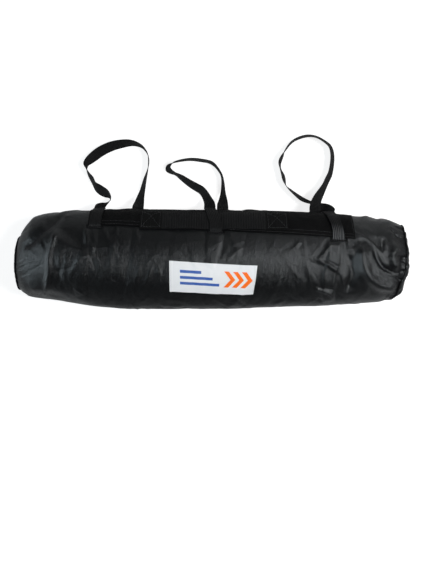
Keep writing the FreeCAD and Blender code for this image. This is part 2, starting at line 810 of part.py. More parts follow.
def model():
    """Every named piece of the part."""
    nodes = {
        "bag_body": bag_body(),
        "end_panel_left": end_panel(-1),
        "end_panel_right": end_panel(1),
        "top_band": top_band(),
        "carry_handle": carry_handle(),
        "label_patch": label_patch(),
        "zip_tape_upper": zip_tape(-1),
        "zip_tape_lower": zip_tape(1),
        "zip_coil_upper": zip_coil(-1),
        "zip_coil_lower": zip_coil(1),
        "zip_stop_left": zip_stop(-1),
        "zip_stop_right": zip_stop(1),
        "zip_slider": zip_slider(),
        "zip_pull": zip_pull(),
        "awning_sheet": awning_sheet(),
        "sheet_eyelets": sheet_eyelets(),
        "pole_feet": pole_feet(),
        "pole_spikes": pole_spikes(),
        "peg_pouch": peg_pouch(),
        "pegs": pegs(),
    }
    for name in POLES:
        nodes["pole_" + name] = pole_tubes(name)
    for name, strap in STRAPS.items():
        nodes["strap_" + name + "_wrap"] = strap_wrap(strap)
        nodes["strap_" + name + "_loop"] = strap_loop(strap)
        nodes["slot_welt_" + name] = front_welt(strap)
        nodes["back_welt_" + name] = back_welt(strap)
    return nodes


os.makedirs("parts", exist_ok=True)
for node_name, shape in model().items():
    shape.exportStep("parts/" + node_name + ".step")
    box = shape.BoundBox
    print(node_name, "solids", len(shape.Solids), "valid", shape.isValid(), "volume", round(shape.Volume),
          "x", round(box.XMin, 1), round(box.XMax, 1), "y", round(box.YMin, 1), round(box.YMax, 1),
          "z", round(box.ZMin, 2), round(box.ZMax, 1))
for strap_name, strap_sizes in STRAPS.items():
    line = hinge_of(strap_sizes)
    print("loop", strap_name, "turns about a line along X at y", round(line.y, 2), "z", round(line.z, 2))
pin_place = on_bag(slider_place, zip_angle, pin_height)
print("pull pin at", round(pin_place.x, 2), round(pin_place.y, 2), round(pin_place.z, 2))
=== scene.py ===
"""A packed vehicle awning in its soft bag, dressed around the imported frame."""
import math

import bmesh
import bpy
import numpy as np
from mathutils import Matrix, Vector


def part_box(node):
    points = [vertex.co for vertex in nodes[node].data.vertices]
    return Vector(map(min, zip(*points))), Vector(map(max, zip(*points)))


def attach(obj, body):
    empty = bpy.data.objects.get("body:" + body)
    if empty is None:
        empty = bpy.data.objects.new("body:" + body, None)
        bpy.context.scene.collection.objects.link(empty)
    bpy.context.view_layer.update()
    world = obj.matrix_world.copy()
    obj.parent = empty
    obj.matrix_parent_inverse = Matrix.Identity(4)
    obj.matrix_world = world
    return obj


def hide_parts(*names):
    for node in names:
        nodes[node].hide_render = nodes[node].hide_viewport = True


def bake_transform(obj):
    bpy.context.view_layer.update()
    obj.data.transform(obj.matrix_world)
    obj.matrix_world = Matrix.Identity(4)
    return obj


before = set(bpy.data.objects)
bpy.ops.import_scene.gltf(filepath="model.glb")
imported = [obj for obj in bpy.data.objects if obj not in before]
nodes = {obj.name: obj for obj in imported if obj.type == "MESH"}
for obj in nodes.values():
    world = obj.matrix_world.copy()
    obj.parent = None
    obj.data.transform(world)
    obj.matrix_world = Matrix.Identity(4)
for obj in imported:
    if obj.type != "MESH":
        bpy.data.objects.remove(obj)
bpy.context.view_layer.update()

# Sizes are in millimetres, angles in degrees round the bag: 0 at the back edge, 90 on top, 180 at the front
MM = 0.001

# The bag along its length: x, back edge, front edge, top, height of the back edge,
# place and radius of the lower front arc, and how far its underside is off the floor
stations = [
    (-418, 50, 63, 94, 50, 34, 24, 14),
    (-411, 63, 70, 104, 53, 35, 32, 8),
    (-397, 82, 79, 114, 55, 36, 40, 2),
    (-384, 94, 82, 120, 57, 37, 45, 0),
    (-350, 102, 86, 127, 59, 39, 50, 0),
    (-310, 106, 92, 132, 60, 40, 50, 0),
    (-245, 107, 101, 136, 61, 40, 50, 0),
    (-180, 108, 105, 138, 62, 40, 50, 0),
    (-60, 107, 106, 140, 62, 40, 50, 0),
    (40, 106, 105, 139, 62, 40, 50, 0),
    (150, 104, 101, 138, 62, 40, 50, 0),
    (240, 100, 99, 136, 61, 40, 50, 0),
    (300, 95, 95, 133, 60, 40, 50, 0),
    (345, 92, 92, 128, 59, 39, 50, 0),
    (378, 88, 88.5, 120, 57, 38, 48, 0),
    (395, 83, 87, 114, 55, 36, 46, 1),
    (408, 78, 85.5, 110, 54, 34, 44, 2),
    (418, 74, 84, 107, 53, 33, 42, 3),
]
flank_angle, shoulder_angle = 25.0, 45.0
seam_place = 418.0
# Mesh steps where the bag is seen and at its back, and how many rows the straight run after each arc has
mesh_step, hidden_step = 2.6, 4.0
run_rows = (0, 0, 0, 7, 12)
# How far back the right end's seam pulls the cloth: (angle, distance)
seam_slant = [(-90, 28), (0, 12), (60, 12), (100, 15), (120, 27), (140, 32), (165, 43), (190, 50), (215, 52),
              (270, 28)]
# How far the end panels bulge, by side, and how much more the front of the right one does
panel_bulge, front_bulge = {-1: 7.5, 1: 16.5}, {-1: 0, 1: 7}
piping_radius = 1.7
# How many gathers each end has, and how many loose folds lie over the whole bag
end_gathers, loose_folds = 70, 420
# Where the roll's middle is, and how near to it the cloth may come
roll_place, roll_level, roll_room = -24.0, 58.3, 57.2
roll_radius, roll_core, roll_pitch, roll_half_length = 53.5, 14, 2, 360
sheet_thickness, pouch_thickness = 1.2, 0.8
floor_gap = 0.15
cloth_thickness = 1.0

# Layers over the cloth
layer_gap = 0.3
band_thickness = 1.2
band_left, band_right = -262.0, 296.0
band_back_angle, band_front_angle = -16.0, 62.0
band_slant = 0.021
webbing_thickness = 1.5
strap_width = 25.0
# A strap's mesh: points across it, rows over the top and rows round the rest of the bag
strap_points, strap_rows_over, strap_rows_under = 9, 46, 150
handle_left, handle_right = -153.0, 158.0
handle_back_angle, handle_front_angle = 33.0, 61.4
handle_patch = 46.0
label_left, label_right = -90.0, 92.0
label_top_angle, label_width_angle = 93.0, 28.4
label_slant = 0.028
label_narrower = 8.0
label_thickness = 0.7
welt_height, welt_thickness = 11.0, 0.8
rear_slot_angle, rear_slot_radius = -6.0, 62.0
# Where along the right strap, in metres, its webbing is painted pale beside the slot as a painted highlight
highlight_from, highlight_to = 0.072, 0.132

# Zip, on the lower front arc
zip_length = 640.0
zip_angle, zip_radius = 222.0, 50.0
zip_mouth = (216.27, 227.73)
mouth_length, mouth_turned_in = 656.0, 1.1
tape_width, tape_thickness, tape_depth = 13.0, 0.8, 1.7

# Things repeated along lines: step, length, width and height
zip_tooth = (2.0, 1.5, 2.4, 1.9)
seam_stitch = (3.4, 2.5, 0.75, 0.5)
label_stitch = (2.6, 1.9, 0.6, 0.45)

# Camera: straight above the bag
camera_x, camera_y, camera_height = 4.34, -57.5, 1785.0
focal_length = 50.1

# Each strap: where its loop turns, how high it arches on top and from what share of its way there,
# where it goes in at the front, where its loop's two legs leave the back, how far the handle under it
# lifts it, and the loop's course on the floor from its front leg: along X, away from the bag, height of
# its middle (left out where it is half the webbing's width), and lean (0 and 180 flat, 90 on edge)
straps = {
    "left": dict(
        hinge=(-245.0, 112.52, 55.52), arch=0.6, arch_from=0.25, slot=-247.0, root=-245.0, back=-163.0,
        lift=0.0,
        loop=[
            (0, 4, 47, 162), (4, 8, 37, 132), (9, 12, 28, 112), (14, 17, 20, 102), (18, 24, 14.5, 98),
            (15, 31, 108), (7, 37, 10.5, 132), (-3, 43, 9.5, 140), (-12, 50, 10.5, 132), (-19, 58, 112),
            (-24, 69, 114), (-31, 79, 105), (-36, 90, 96), (-38, 101, 74), (-31, 110, 11, 56),
            (-19, 121, 9, 42), (-2, 133, 8.5, 40), (21, 143, 9.5, 46), (45, 148, 11, 56), (66, 149, 70),
            (84, 143, 82), (94, 134, 86), (101, 121, 88), (102, 104, 88), (99, 87, 80), (94, 70, 70),
            (89, 46, 15, 60), (85, 28, 23, 46), (83, 14, 34, 28), (82, 6, 46, 10)]),
    "middle": dict(
        hinge=(-7.0, 113.61, 55.52), arch=0.8, arch_from=0.25, slot=6.0, root=-7.0, back=21.0, lift=1.8,
        loop=[
            (0, 4, 47, 176), (-1, 11, 36, 158), (-5, 21, 25, 138), (-11, 33, 17, 130), (-19, 43, 14, 128),
            (-31, 50, 126), (-46, 59, 120), (-63, 71, 111), (-76, 79, 96), (-86, 84, 106),
            (-93, 90, 12, 118), (-92, 97, 12, 116), (-82, 104, 96), (-68, 108, 90), (-50, 111, 87),
            (-34, 111, 84), (-19, 109, 83), (-6, 107, 84), (5, 103, 82), (14, 95, 84), (22, 84, 86),
            (27, 73, 84), (29, 55, 76), (29, 36, 17, 66), (29, 20, 28, 44), (28, 8, 43, 16)]),
    "right": dict(
        hinge=(257.0, 105.84, 55.2), arch=3.5, arch_from=0.05, slot=262.0, root=249.5, back=222.0, lift=0.0,
        loop=[
            (-8, 4, 47, 176), (-14, 9, 36, 158), (-25, 16, 22, 124), (-36, 22, 14, 110), (-48, 26, 114),
            (-61, 32, 118), (-74, 42, 112), (-86, 52, 106), (-95, 61, 97), (-99, 73, 110), (-102, 86, 110),
            (-107, 98, 100), (-109, 109, 104), (-107, 118, 106), (-101, 130, 98), (-97, 138, 86),
            (-89, 150, 81), (-79, 160, 75), (-63, 168, 12, 70), (-44, 172, 12, 69), (-26, 169, 12, 70),
            (-10, 160, 12, 68), (3, 149, 12, 65), (8, 133, 12, 64), (8, 113, 12, 64), (4, 89, 12, 62),
            (-3, 74, 60), (-9, 61, 15.5, 60), (-17, 47, 21, 50), (-25, 34, 29, 38), (-31, 22, 37, 26),
            (-34, 12, 45, 14), (-35, 5, 50, 6)]),
}


def unit(vectors):
    """Vectors along the last axis, made one long."""
    return vectors / np.maximum(np.linalg.norm(vectors, axis=-1, keepdims=True), 1e-9)


def along(places, values, place):
    """Values at a place between others, by a monotone cubic that keeps the stations' shape."""
    places, values, place = (np.asarray(a, float) for a in (places, values, place))
    gaps = np.diff(places)
    slopes = np.diff(values) / gaps
    turns = np.concatenate([slopes[:1], np.zeros(len(slopes) - 1), slopes[-1:]])
    i = np.flatnonzero(slopes[:-1] * slopes[1:] > 0)
    first, second = 2 * gaps[i + 1] + gaps[i], gaps[i + 1] + 2 * gaps[i]
    turns[i + 1] = (first + second) / (first / slopes[i] + second / slopes[i + 1])
    i = np.clip(np.searchsorted(places, place) - 1, 0, len(gaps) - 1)
    t = (place - places[i]) / gaps[i]
    return ((1 + 2 * t) * (1 - t) ** 2 * values[i] + t * (1 - t) ** 2 * gaps[i] * turns[i]
            + t * t * (3 - 2 * t) * values[i + 1] + t * t * (t - 1) * gaps[i] * turns[i + 1])


def ease(low, high, value):
    """0 below low, 1 above high, smooth between."""
    t = np.clip((value - low) / (high - low), 0, 1)
    return t * t * (3 - 2 * t)


def soft_ends(fade, share):
    """1 along the middle of a path, and less toward its ends."""
    return ease(0, fade, share) * ease(0, fade, 1 - share)


def cross_section(x):
    """Five tangent arcs round the bag at x: centre y, centre z, radius, first and last angle."""
    places, *columns = np.array(stations, float).T
    back, front, top, rim, lower, radius, lift = (float(along(places, column, x)) for column in columns)
    flank, shoulder = math.radians(flank_angle), math.radians(shoulder_angle)
    slope_cos, slope_sin = math.cos(shoulder), math.sin(shoulder)
    rise = (1 - math.cos(flank)) / math.sin(flank)
    base = lift + radius - (radius + math.cos(flank) * (lower - front)) / math.sin(flank)
    front_full = (top - base) / (rise + slope_sin)
    front_share = (1 - slope_sin) / (rise + slope_sin)
    back_full = (top - rim) / slope_sin
    back_share = (1 - slope_sin) / slope_sin
    top_radius = front + back - (1 - slope_cos) * (front_full + back_full)
    top_radius /= 2 * slope_cos - (1 - slope_cos) * (front_share + back_share)
    front_side = front_full - front_share * top_radius
    back_side = back_full - back_share * top_radius
    middle = back - back_side - (top_radius - back_side) * slope_cos
    return [(back - rim + lift, rim, rim - lift, -90, 0),
            (back - back_side, rim, back_side, 0, shoulder_angle),
            (middle, top - top_radius, top_radius, shoulder_angle, 180 - shoulder_angle),
            (front_side - front, base + rise * front_side, front_side, 180 - shoulder_angle,
             180 + flank_angle),
            (-lower, lift + radius, radius, 180 + flank_angle, 270)]


def rows_round():
    """Rows of the cloth's mesh round the bag: an arc, the share of the straight run after it, the angle."""
    rows = []
    for number, (*_, radius, first, last) in enumerate(cross_section(0)):
        step = mesh_step if number else hidden_step
        stops = [first, *zip_mouth, last] if number == 4 else [first, last]
        for start, end in zip(stops, stops[1:]):
            count = max(round(math.radians(end - start) * radius / step), 1)
            rows += [(number, 0, start + (end - start) * i / count) for i in range(count)]
        rows += [(number, i / run_rows[number], last) for i in range(run_rows[number])]
    return rows


def slant_at(x, angle):
    """How far the right end's seam pulls the cloth back at a place along the bag and round it."""
    places, values = zip(*seam_slant)
    return ease(seam_place - 70, seam_place + 20, x) * along(places, values, angle)


def plain_form(rows, columns):
    """The bag's smooth form: a point for each column along it and each row round it."""
    numbers, shares, angles = (np.array(part) for part in zip(*rows))
    turns = np.radians(angles)
    outward = np.stack([np.cos(turns), np.sin(turns)], axis=1)
    form = np.empty((len(columns), len(rows), 3))
    for i, x in enumerate(columns):
        arcs = np.array(cross_section(x))
        spot, onward = (arcs[k, :2] + arcs[k, 2:3] * outward for k in (numbers, (numbers + 1) % len(arcs)))
        form[i, :, 0] = x
        form[i, :, 1:] = spot + shares[:, None] * (onward - spot)
    form[:, :, 0] -= slant_at(columns[:, None], angles)
    return form


def grid_normals(points, closed=None):
    """Normals of a grid of points, one of whose axes may run round."""
    ahead, across = (np.roll(points, -1, axis) - np.roll(points, 1, axis) if axis == closed
                     else np.gradient(points, axis=axis) for axis in (0, 1))
    return unit(np.cross(across, ahead))


class Cloth:
    """The bag's cloth as a grid of points along and round it, which creases move in and out."""

    def __init__(self):
        self.rows = rows_round()
        self.angles = np.array([row[2] for row in self.rows], float)
        self.columns = np.linspace(-seam_place, seam_place, round(2 * seam_place / mesh_step) + 1)
        self.form = plain_form(self.rows, self.columns)
        steps = np.linalg.norm(np.diff(self.form, axis=1), axis=2)
        girth = np.insert(np.cumsum(steps, axis=1), 0, 0, axis=1)
        self.girth = girth - np.array([np.interp(90, self.angles, line) for line in girth])[:, None]
        self.height = np.zeros(girth.shape)

    def unrolled(self, x, angle):
        """A place on the bag as (x, distance round from the top)."""
        place = float(x)
        for _ in range(8):
            place = x + float(slant_at(place, angle))
        girth = self.girth[np.abs(self.columns - place).argmin()]
        return place, float(np.interp(angle, self.angles, girth))

    def distance(self, path, reach):
        """Which points are near a smooth path, their signed distance, share along it, and its length."""
        line = smooth_line([self.unrolled(*spot) for spot in path], 4)
        spots = np.stack(np.broadcast_arrays(self.columns[:, None], self.girth), axis=-1)
        near = ((spots > line.min(axis=0) - reach) & (spots < line.max(axis=0) + reach)).all(axis=-1)
        ahead = np.diff(line, axis=0)
        lengths = np.linalg.norm(ahead, axis=1)
        ahead /= lengths[:, None]
        offset = spots[near][:, None] - line[:-1]
        t = np.clip((offset * ahead).sum(axis=-1), 0, lengths)
        away = np.linalg.norm(offset - t[..., None] * ahead, axis=-1)
        side = np.sign(ahead[:, 0] * offset[..., 1] - ahead[:, 1] * offset[..., 0])
        nearest = np.arange(len(away)), away.argmin(axis=1)
        share = (np.cumsum(lengths) - lengths + t) / lengths.sum()
        return near, (away * side)[nearest], share[nearest], lengths.sum()

    def crease(self, height, left, right, *path):
        """Raises a fold, or sinks a groove, along a path; left and right are the widths of its sides."""
        near, away, share, total = self.distance(path, 3 * max(left, right))
        shape = np.exp(-np.abs(away / np.where(away > 0, left, right)) ** 1.7)
        self.height[near] += height * shape * soft_ends(min(0.35, 14 / total + 0.1), share)

    def strap_print(self, height, edge, *path):
        """Raises the cloth over a strap that runs under it."""
        half = strap_width / 2
        near, away, share = self.distance(path, half + 3 * edge)[:3]
        shape = 1 - ease(half - edge, half + edge, np.abs(away))
        self.height[near] += height * shape * soft_ends(0.1, share)

    def gathers(self, chance):
        """The cloth is gathered where it is sewn to the end panels."""
        for side in (-1, 1):
            away = seam_place - side * np.broadcast_to(self.columns[:, None], self.girth.shape)
            for _ in range(end_gathers):
                place = chance.uniform(-320, 320)
                width, reach = chance.uniform(1.8, 4.2), chance.uniform(12, 46)
                height, drift = chance.normal(0, 0.7 if side < 0 else 1.7), chance.normal(0, 0.12)
                near = away < 2.5 * reach
                off = self.girth[near] - place - drift * away[near]
                self.height[near] += (height * np.exp(-(off / width) ** 2 - (away[near] / reach) ** 2)
                                      * (0.35 + 0.65 * ease(0, 9, away[near])))

    def settle(self):
        """Moves the cloth by its creases, not at the zip, little on the underside, and clear of the roll."""
        zip_calm = 1 - ease(200, 208, self.angles) * (1 - ease(236, 246, self.angles))
        below = 1 - 0.85 * ease(246, 262, self.angles)
        tucked = 0.3 + 0.7 * ease(-70, -20, self.angles)
        height = self.height * zip_calm * below * tucked
        self.form = self.form + grid_normals(self.form, 1) * height[:, :, None]
        self.form[:, :, 2] = np.maximum(self.form[:, :, 2], floor_gap)
        from_roll = self.form[:, :, 1:] - np.array([roll_place, roll_level])
        away = np.linalg.norm(from_roll, axis=2)
        beyond = ease(roll_half_length, roll_half_length + 12, np.abs(self.form[:, :, 0]))
        short = np.maximum(roll_room - away, 0) * (1 - beyond)
        self.form[:, :, 1:] += from_roll / away[:, :, None] * short[:, :, None]
        self.normal = grid_normals(self.form, 1)

    def row_of(self, angle):
        """The row, with its fraction, at an angle round the bag."""
        return np.interp(angle, self.angles, np.arange(len(self.rows)))

    def over(self, x, row, height):
        """Points over the finished cloth at places along it and rows round it."""
        x, row, height = np.broadcast_arrays(*(np.asarray(value, float) for value in (x, row, height)))
        i = np.interp(x, self.columns, np.arange(len(self.columns)))
        i0 = np.clip(i.astype(int), 0, len(self.columns) - 2)
        j0 = row.astype(int) % len(self.rows)
        j1 = (j0 + 1) % len(self.rows)
        s, t = (i - i0)[..., None], (row - row.astype(int))[..., None]

        def mix(grid):
            return ((1 - s) * (1 - t) * grid[i0, j0] + s * (1 - t) * grid[i0 + 1, j0]
                    + (1 - s) * t * grid[i0, j1] + s * t * grid[i0 + 1, j1])

        return mix(self.form) + unit(mix(self.normal)) * height[..., None]

    def at(self, x, angle, height):
        """Points over the finished cloth at places along it and angles round it."""
        return self.over(x, self.row_of(angle), height)


def smooth_line(points, steps):
    """A smooth line through the points, with so many steps between each two."""
    points = np.asarray(points, float)
    padded = np.concatenate([2 * points[:1] - points[1:2], points, 2 * points[-1:] - points[-2:-1]])
    a, b, c, d = (padded[k:len(padded) - 3 + k, None] for k in range(4))
    t = np.arange(steps)[:, None] / steps
    line = b + 0.5 * ((c - a) * t + (2 * a - 5 * b + 4 * c - d) * t * t + (3 * b - a - 3 * c + d) * t ** 3)
    return np.concatenate([line.reshape(-1, points.shape[1]), points[-1:]])


# Creases on the bag: height, width of the left side, width of the right side (both as seen when
# following the path), then the path as (x, angle)
creases = [
    # The left end: a groove, the pillow beside it and the valley that ends it
    (-5.0, 9, 10, (-403, 83), (-376, 74), (-360, 67), (-346, 60), (-331, 50), (-318, 28)),
    (2.0, 18, 22, (-388, 84), (-390, 100), (-384, 122), (-372, 145)),
    (7.0, 40, 7, (-318, 58), (-330, 70), (-339, 84), (-343, 98), (-346, 112), (-352, 130), (-362, 155)),
    (2.2, 3, 3.5, (-352, 134), (-357, 142), (-361, 156)),
    (7.0, 6, 62, (-316, 62), (-327, 74), (-335, 90), (-337, 106), (-343, 122), (-352, 146)),
    # The left strap pulls the cloth
    (1.5, 2.5, 5, (-268, 56), (-264, 71), (-261, 82)),
    (1.2, 4, 5, (-242, 88), (-258, 88), (-275, 92), (-288, 100), (-296, 112), (-291, 122)),
    (1.2, 3, 2.5, (-295, 123), (-283, 124), (-269, 129)),
    (0.6, 4, 4, (-288, 82), (-263, 81), (-234, 80), (-201, 78)),
    # The middle
    (0.8, 4, 5, (-122, 90), (-130, 99), (-139, 109), (-159, 124)),
    (1.1, 7, 8, (-149, 92), (-157, 104), (-167, 118)),
    (0.6, 4, 4, (-122, 90), (-113, 100), (-108, 112), (-101, 128)),
    (0.8, 3, 3, (-166, 116), (-162, 128)),
    (1.2, 3.5, 2.5, (-156, 134), (-143, 128), (-129, 122)),
    (1.2, 3, 3, (-21, 124), (-17, 131), (-15, 156)),
    (1.0, 3, 3, (-8, 123), (6, 128), (23, 134), (51, 180)),
    (-1.0, 3, 3, (44, 126), (57, 132), (70, 155)),
    (0.9, 2, 4, (-12, 62), (-12, 77), (-12, 92)),
    (1.0, 2.5, 3, (-8, 79), (6, 76), (23, 72)),
    (-0.8, 3, 3, (23, 74), (19, 82), (13, 90)),
    (1.1, 3, 3.5, (27, 92), (39, 86), (54, 81), (73, 76)),
    (0.9, 2.5, 3, (31, 79), (52, 74), (73, 72)),
    (0.8, 4, 4, (139, 82), (163, 93), (180, 98)),
    (1.4, 3, 4, (187, 69), (174, 76), (155, 84)),
    (-1.2, 4, 4, (199, 104), (196, 115), (195, 125)),
    (1.1, 3, 3, (185, 126), (192, 133), (197, 146)),
    (1.1, 3, 3, (194, 158), (203, 142), (215, 133)),
    (1.1, 3, 3, (124, 158), (136, 141), (152, 134)),
    # The right strap pulls harder
    (3.2, 4, 3.5, (245, 72), (238, 79), (230, 85), (215, 91)),
    (3.0, 3.5, 3, (205, 88), (224, 92), (247, 98), (272, 108)),
    (-2.0, 2, 2, (226, 88), (247, 94.5), (272, 100)),
    (1.6, 3, 4, (228, 98), (229, 109), (228, 120)),
    (-2.0, 2, 2, (217, 119), (236, 120), (258, 122)),
    (2.6, 3.5, 3, (207, 117), (222, 122), (241, 125), (252, 131), (259, 143)),
    (-1.6, 5, 5, (217, 133), (235, 140)),
    (-6.0, 10, 10, (272, 82), (282, 89), (289, 99), (290, 109), (285, 119), (281, 130)),
    (1.6, 4, 4, (268, 103), (273, 116), (281, 127)),
    # The right end
    (1.8, 2.5, 2.5, (279, 54), (297, 60), (315, 66), (329, 72), (346, 82), (356, 88)),
    (1.4, 6, 6, (309, 50), (329, 58), (347, 68)),
    (-3.6, 6, 4, (356, 64), (354, 74), (352, 84)),
    (-3.6, 5, 5, (372, 50), (382, 56), (397, 64)),
    (10.0, 10, 17, (318, 70), (313, 78), (309, 88), (315, 102), (335, 116), (362, 124), (394, 122)),
    (-4.5, 4.5, 5, (334, 76), (338, 85), (346, 94), (358, 101), (376, 105), (394, 104)),
    (9.0, 10, 26, (382, 66), (381, 75), (375, 84), (374, 91), (381, 98), (396, 100)),
    (-1.8, 5, 4, (309, 66), (312, 77)),
    (1.8, 4, 5, (320, 106), (322, 120), (324, 138)),
    # The band sags a little between its seams
    (0.8, 4, 4, (171, 41), (196, 46), (226, 48)),
    (-1.2, 5, 5, (188, 58), (207, 56), (228, 62)),
    # The back, where the photograph shows nothing, has long shallow folds of the same kind
    (1.6, 6, 9, (-330, 30), (-300, 12), (-280, -14)),
    (-2.2, 7, 6, (-350, 34), (-330, 8), (-322, -22)),
    (1.4, 6, 6, (-228, 8), (-190, -22), (-120, -30)),
    (1.5, 7, 6, (-96, -18), (-60, -34), (0, -38)),
    (-1.6, 6, 7, (66, -20), (110, -34), (170, -36)),
    (1.8, 7, 6, (310, 32), (330, 6), (338, -20)),
    (-2.4, 6, 7, (334, 38), (352, 12), (357, -16)),
    (1.4, 6, 6, (180, -24), (215, -40), (262, -34)),
]

# Where each strap shows through the cloth below its slot: height, softness of its edges, path as (x, angle)
strap_prints = [
    (1.2, 5, (-258, 56), (-255, 73), (-259, 84), (-271, 96), (-277, 111), (-275, 126), (-276, 162)),
    (0.9, 6, (3, 62), (3, 76), (3, 92), (2, 108), (0, 124), (0, 157)),
    (2.6, 3, (252, 70), (251, 80), (249, 93), (243, 103), (242, 116), (242, 130), (244, 150)),
]


def shape_cloth():
    """The bag's cloth with all its creases, gathers and loose folds."""
    cloth = Cloth()
    for height, left, right, *path in creases:
        cloth.crease(height, left, right, *path)
    for height, edge, *path in strap_prints:
        cloth.strap_print(height, edge, *path)
    chance = np.random.default_rng(11)
    angle_per_mm = math.degrees(1 / 60)
    for _ in range(loose_folds):
        x, angle = chance.uniform(-380, 385), chance.uniform(-60, 205)
        reach, turn = chance.uniform(8, 42), chance.uniform(-75, 75)
        height = chance.normal(0, 0.8 if x > 290 else 0.5)
        width = chance.uniform(2.5, 7)
        rise = angle_per_mm * reach * math.tan(math.radians(turn))
        path = [(x + s * reach, angle + s * rise + chance.normal(0, 1.2)) for s in (-1, -0.4, 0.3, 1)]
        cloth.crease(height, width, width * chance.uniform(0.7, 1.5), *path)
    cloth.gathers(chance)
    cloth.settle()
    return cloth


# Building meshes and nodes
def put(name, data):
    """Puts an object of this mesh, lamp or camera in the scene."""
    thing = bpy.data.objects.new(name, data)
    bpy.context.scene.collection.objects.link(thing)
    return thing


def add_node(tree, kind, values=None, **settings):
    """Adds a node with its settings, and with values or links for its inputs."""
    node = tree.nodes.new(kind)
    for name, setting in settings.items():
        setattr(node, name, setting)
    for name, value in (values or {}).items():
        if isinstance(value, bpy.types.NodeSocket):
            tree.links.new(value, node.inputs[name])
        else:
            node.inputs[name].default_value = value
    return node


def place_piece(name, points, faces, corners_uv, finish, sharp=45):
    """A mesh object from points in millimetres, faces and a texture place for every face corner."""
    mesh = bpy.data.meshes.new(name)
    mesh.from_pydata((np.asarray(points) * MM).tolist(), [], faces)
    mesh.uv_layers.new(name="cloth").data.foreach_set("uv", (np.asarray(corners_uv) * MM).ravel())
    mesh.shade_smooth()
    mesh.set_sharp_from_angle(angle=math.radians(sharp))
    mesh.materials.append(finishes[finish])
    return put(name, mesh)


def lengths_over(points):
    """Distances along and across a grid, one row each, for its texture places."""
    steps = (np.linalg.norm(np.diff(points, axis=axis), axis=2).mean(axis=1 - axis) for axis in (0, 1))
    return [np.insert(np.cumsum(line), 0, 0) for line in steps]


def thick_piece(name, middle, thickness, finish, closed=False, holes=None):
    """A sheet of even thickness about a grid of points, walled at its edges and round its holes."""
    n, m = middle.shape[:2]
    normal = grid_normals(middle, 0 if closed else None)
    points = np.concatenate([(middle + side * normal * thickness / 2).reshape(-1, 3) for side in (1, -1)])
    u, v = lengths_over(np.concatenate([middle, middle[:1]]) if closed else middle)
    cells = np.ones((n if closed else n - 1, m - 1), bool)
    if holes is not None:
        cells &= ~holes
    kept = np.pad(cells, 1)
    if closed:
        kept[0], kept[-1] = kept[-2], kept[1]
    faces, places = [], []

    def add(corners):
        faces.append([((i % n) + n * under) * m + j for i, j, under in corners])
        places.extend((u[i], v[j]) for i, j, under in corners)

    for i, j in np.argwhere(cells).tolist():
        cell = [(i, j), (i, j + 1), (i + 1, j + 1), (i + 1, j)]
        add([(*corner, 0) for corner in cell])
        add([(*corner, 1) for corner in (cell[0], *cell[:0:-1])])
        beside = kept[i, j + 1], kept[i + 1, j + 2], kept[i + 2, j + 1], kept[i + 1, j]
        for a, b, joined in zip(cell, cell[1:] + cell[:1], beside):
            if not joined:
                add([(*a, 0), (*a, 1), (*b, 1), (*b, 0)])
    piece = place_piece(name, points, faces, places, finish)
    drop_loose(piece.data)
    return piece


def drop_loose(mesh):
    """Removes points that no face uses."""
    form = bmesh.new()
    form.from_mesh(mesh)
    bmesh.ops.delete(form, geom=[point for point in form.verts if not point.link_faces], context="VERTS")
    form.to_mesh(mesh)
    form.free()


def piping(name, ring, sides=8):
    """The round cord of cloth in a seam, along a closed ring."""
    n = len(ring)
    ahead = unit(np.roll(ring, -1, axis=0) - np.roll(ring, 1, axis=0))
    away = unit(np.cross(ahead, (1, 0, 0)))
    beside = np.cross(ahead, away)
    turns = (2 * math.pi * np.arange(sides) / sides)[:, None]
    outward = np.cos(turns) * away[:, None] + np.sin(turns) * beside[:, None]
    points = ring[:, None] + piping_radius * outward
    faces, places = [], []
    for i in range(n):
        for j in range(sides):
            corners = [(i, j), (i + 1, j), (i + 1, j + 1), (i, j + 1)]
            faces.append([(a % n) * sides + b % sides for a, b in corners])
            places += [(a * 3.0, b) for a, b in corners]
    return place_piece(name, points.reshape(-1, 3), faces, places, "piping_cloth")


# Pieces over the cloth
def places_between(first, last, step):
    """Even steps from first to last, about so far apart."""
    return np.linspace(first, last, max(int(round(abs(last - first) / step)), 2) + 1)


def bag_skin(cloth):
    """The bag's cloth with the zip's mouth open along its lower front."""
    n, m = cloth.form.shape[:2]
    points = list(cloth.form.reshape(-1, 3))
    low, high = (int(np.argmin(np.abs(cloth.angles - edge))) for edge in zip_mouth)
    first, last = np.flatnonzero(np.abs(cloth.columns) < mouth_length / 2)[[0, -1]].tolist()
    whole = cloth.girth[:, -1:] + np.linalg.norm(cloth.form[:, :1] - cloth.form[:, -1:], axis=2)
    girth = np.concatenate([cloth.girth, whole], axis=1)
    faces, places = [], []
    for i in range(n - 1):
        for j in range(m):
            if first <= i < last and low <= j < high:
                continue
            corners = [(i, j), (i, j + 1), (i + 1, j + 1), (i + 1, j)]
            faces.append([a * m + b % m for a, b in corners])
            places += [(cloth.columns[a], girth[a, b]) for a, b in corners]
    rim = ([(i, low) for i in range(first, last)] + [(last, j) for j in range(low, high)]
           + [(i, high) for i in range(last, first, -1)] + [(first, j) for j in range(high, low, -1)])
    start = len(points)
    points += [cloth.form[spot] - cloth.normal[spot] * mouth_turned_in for spot in rim]
    for k, (a, b) in enumerate(zip(rim, rim[1:] + rim[:1])):
        faces.append([a[0] * m + a[1], start + k, start + (k + 1) % len(rim), b[0] * m + b[1]])
        for spot, inward in ((a, 0), (a, 1), (b, 1), (b, 0)):
            places.append((cloth.columns[spot[0]], girth[spot] + inward))
    return place_piece("bag_cloth", points, faces, places, "bag_cloth", 60)


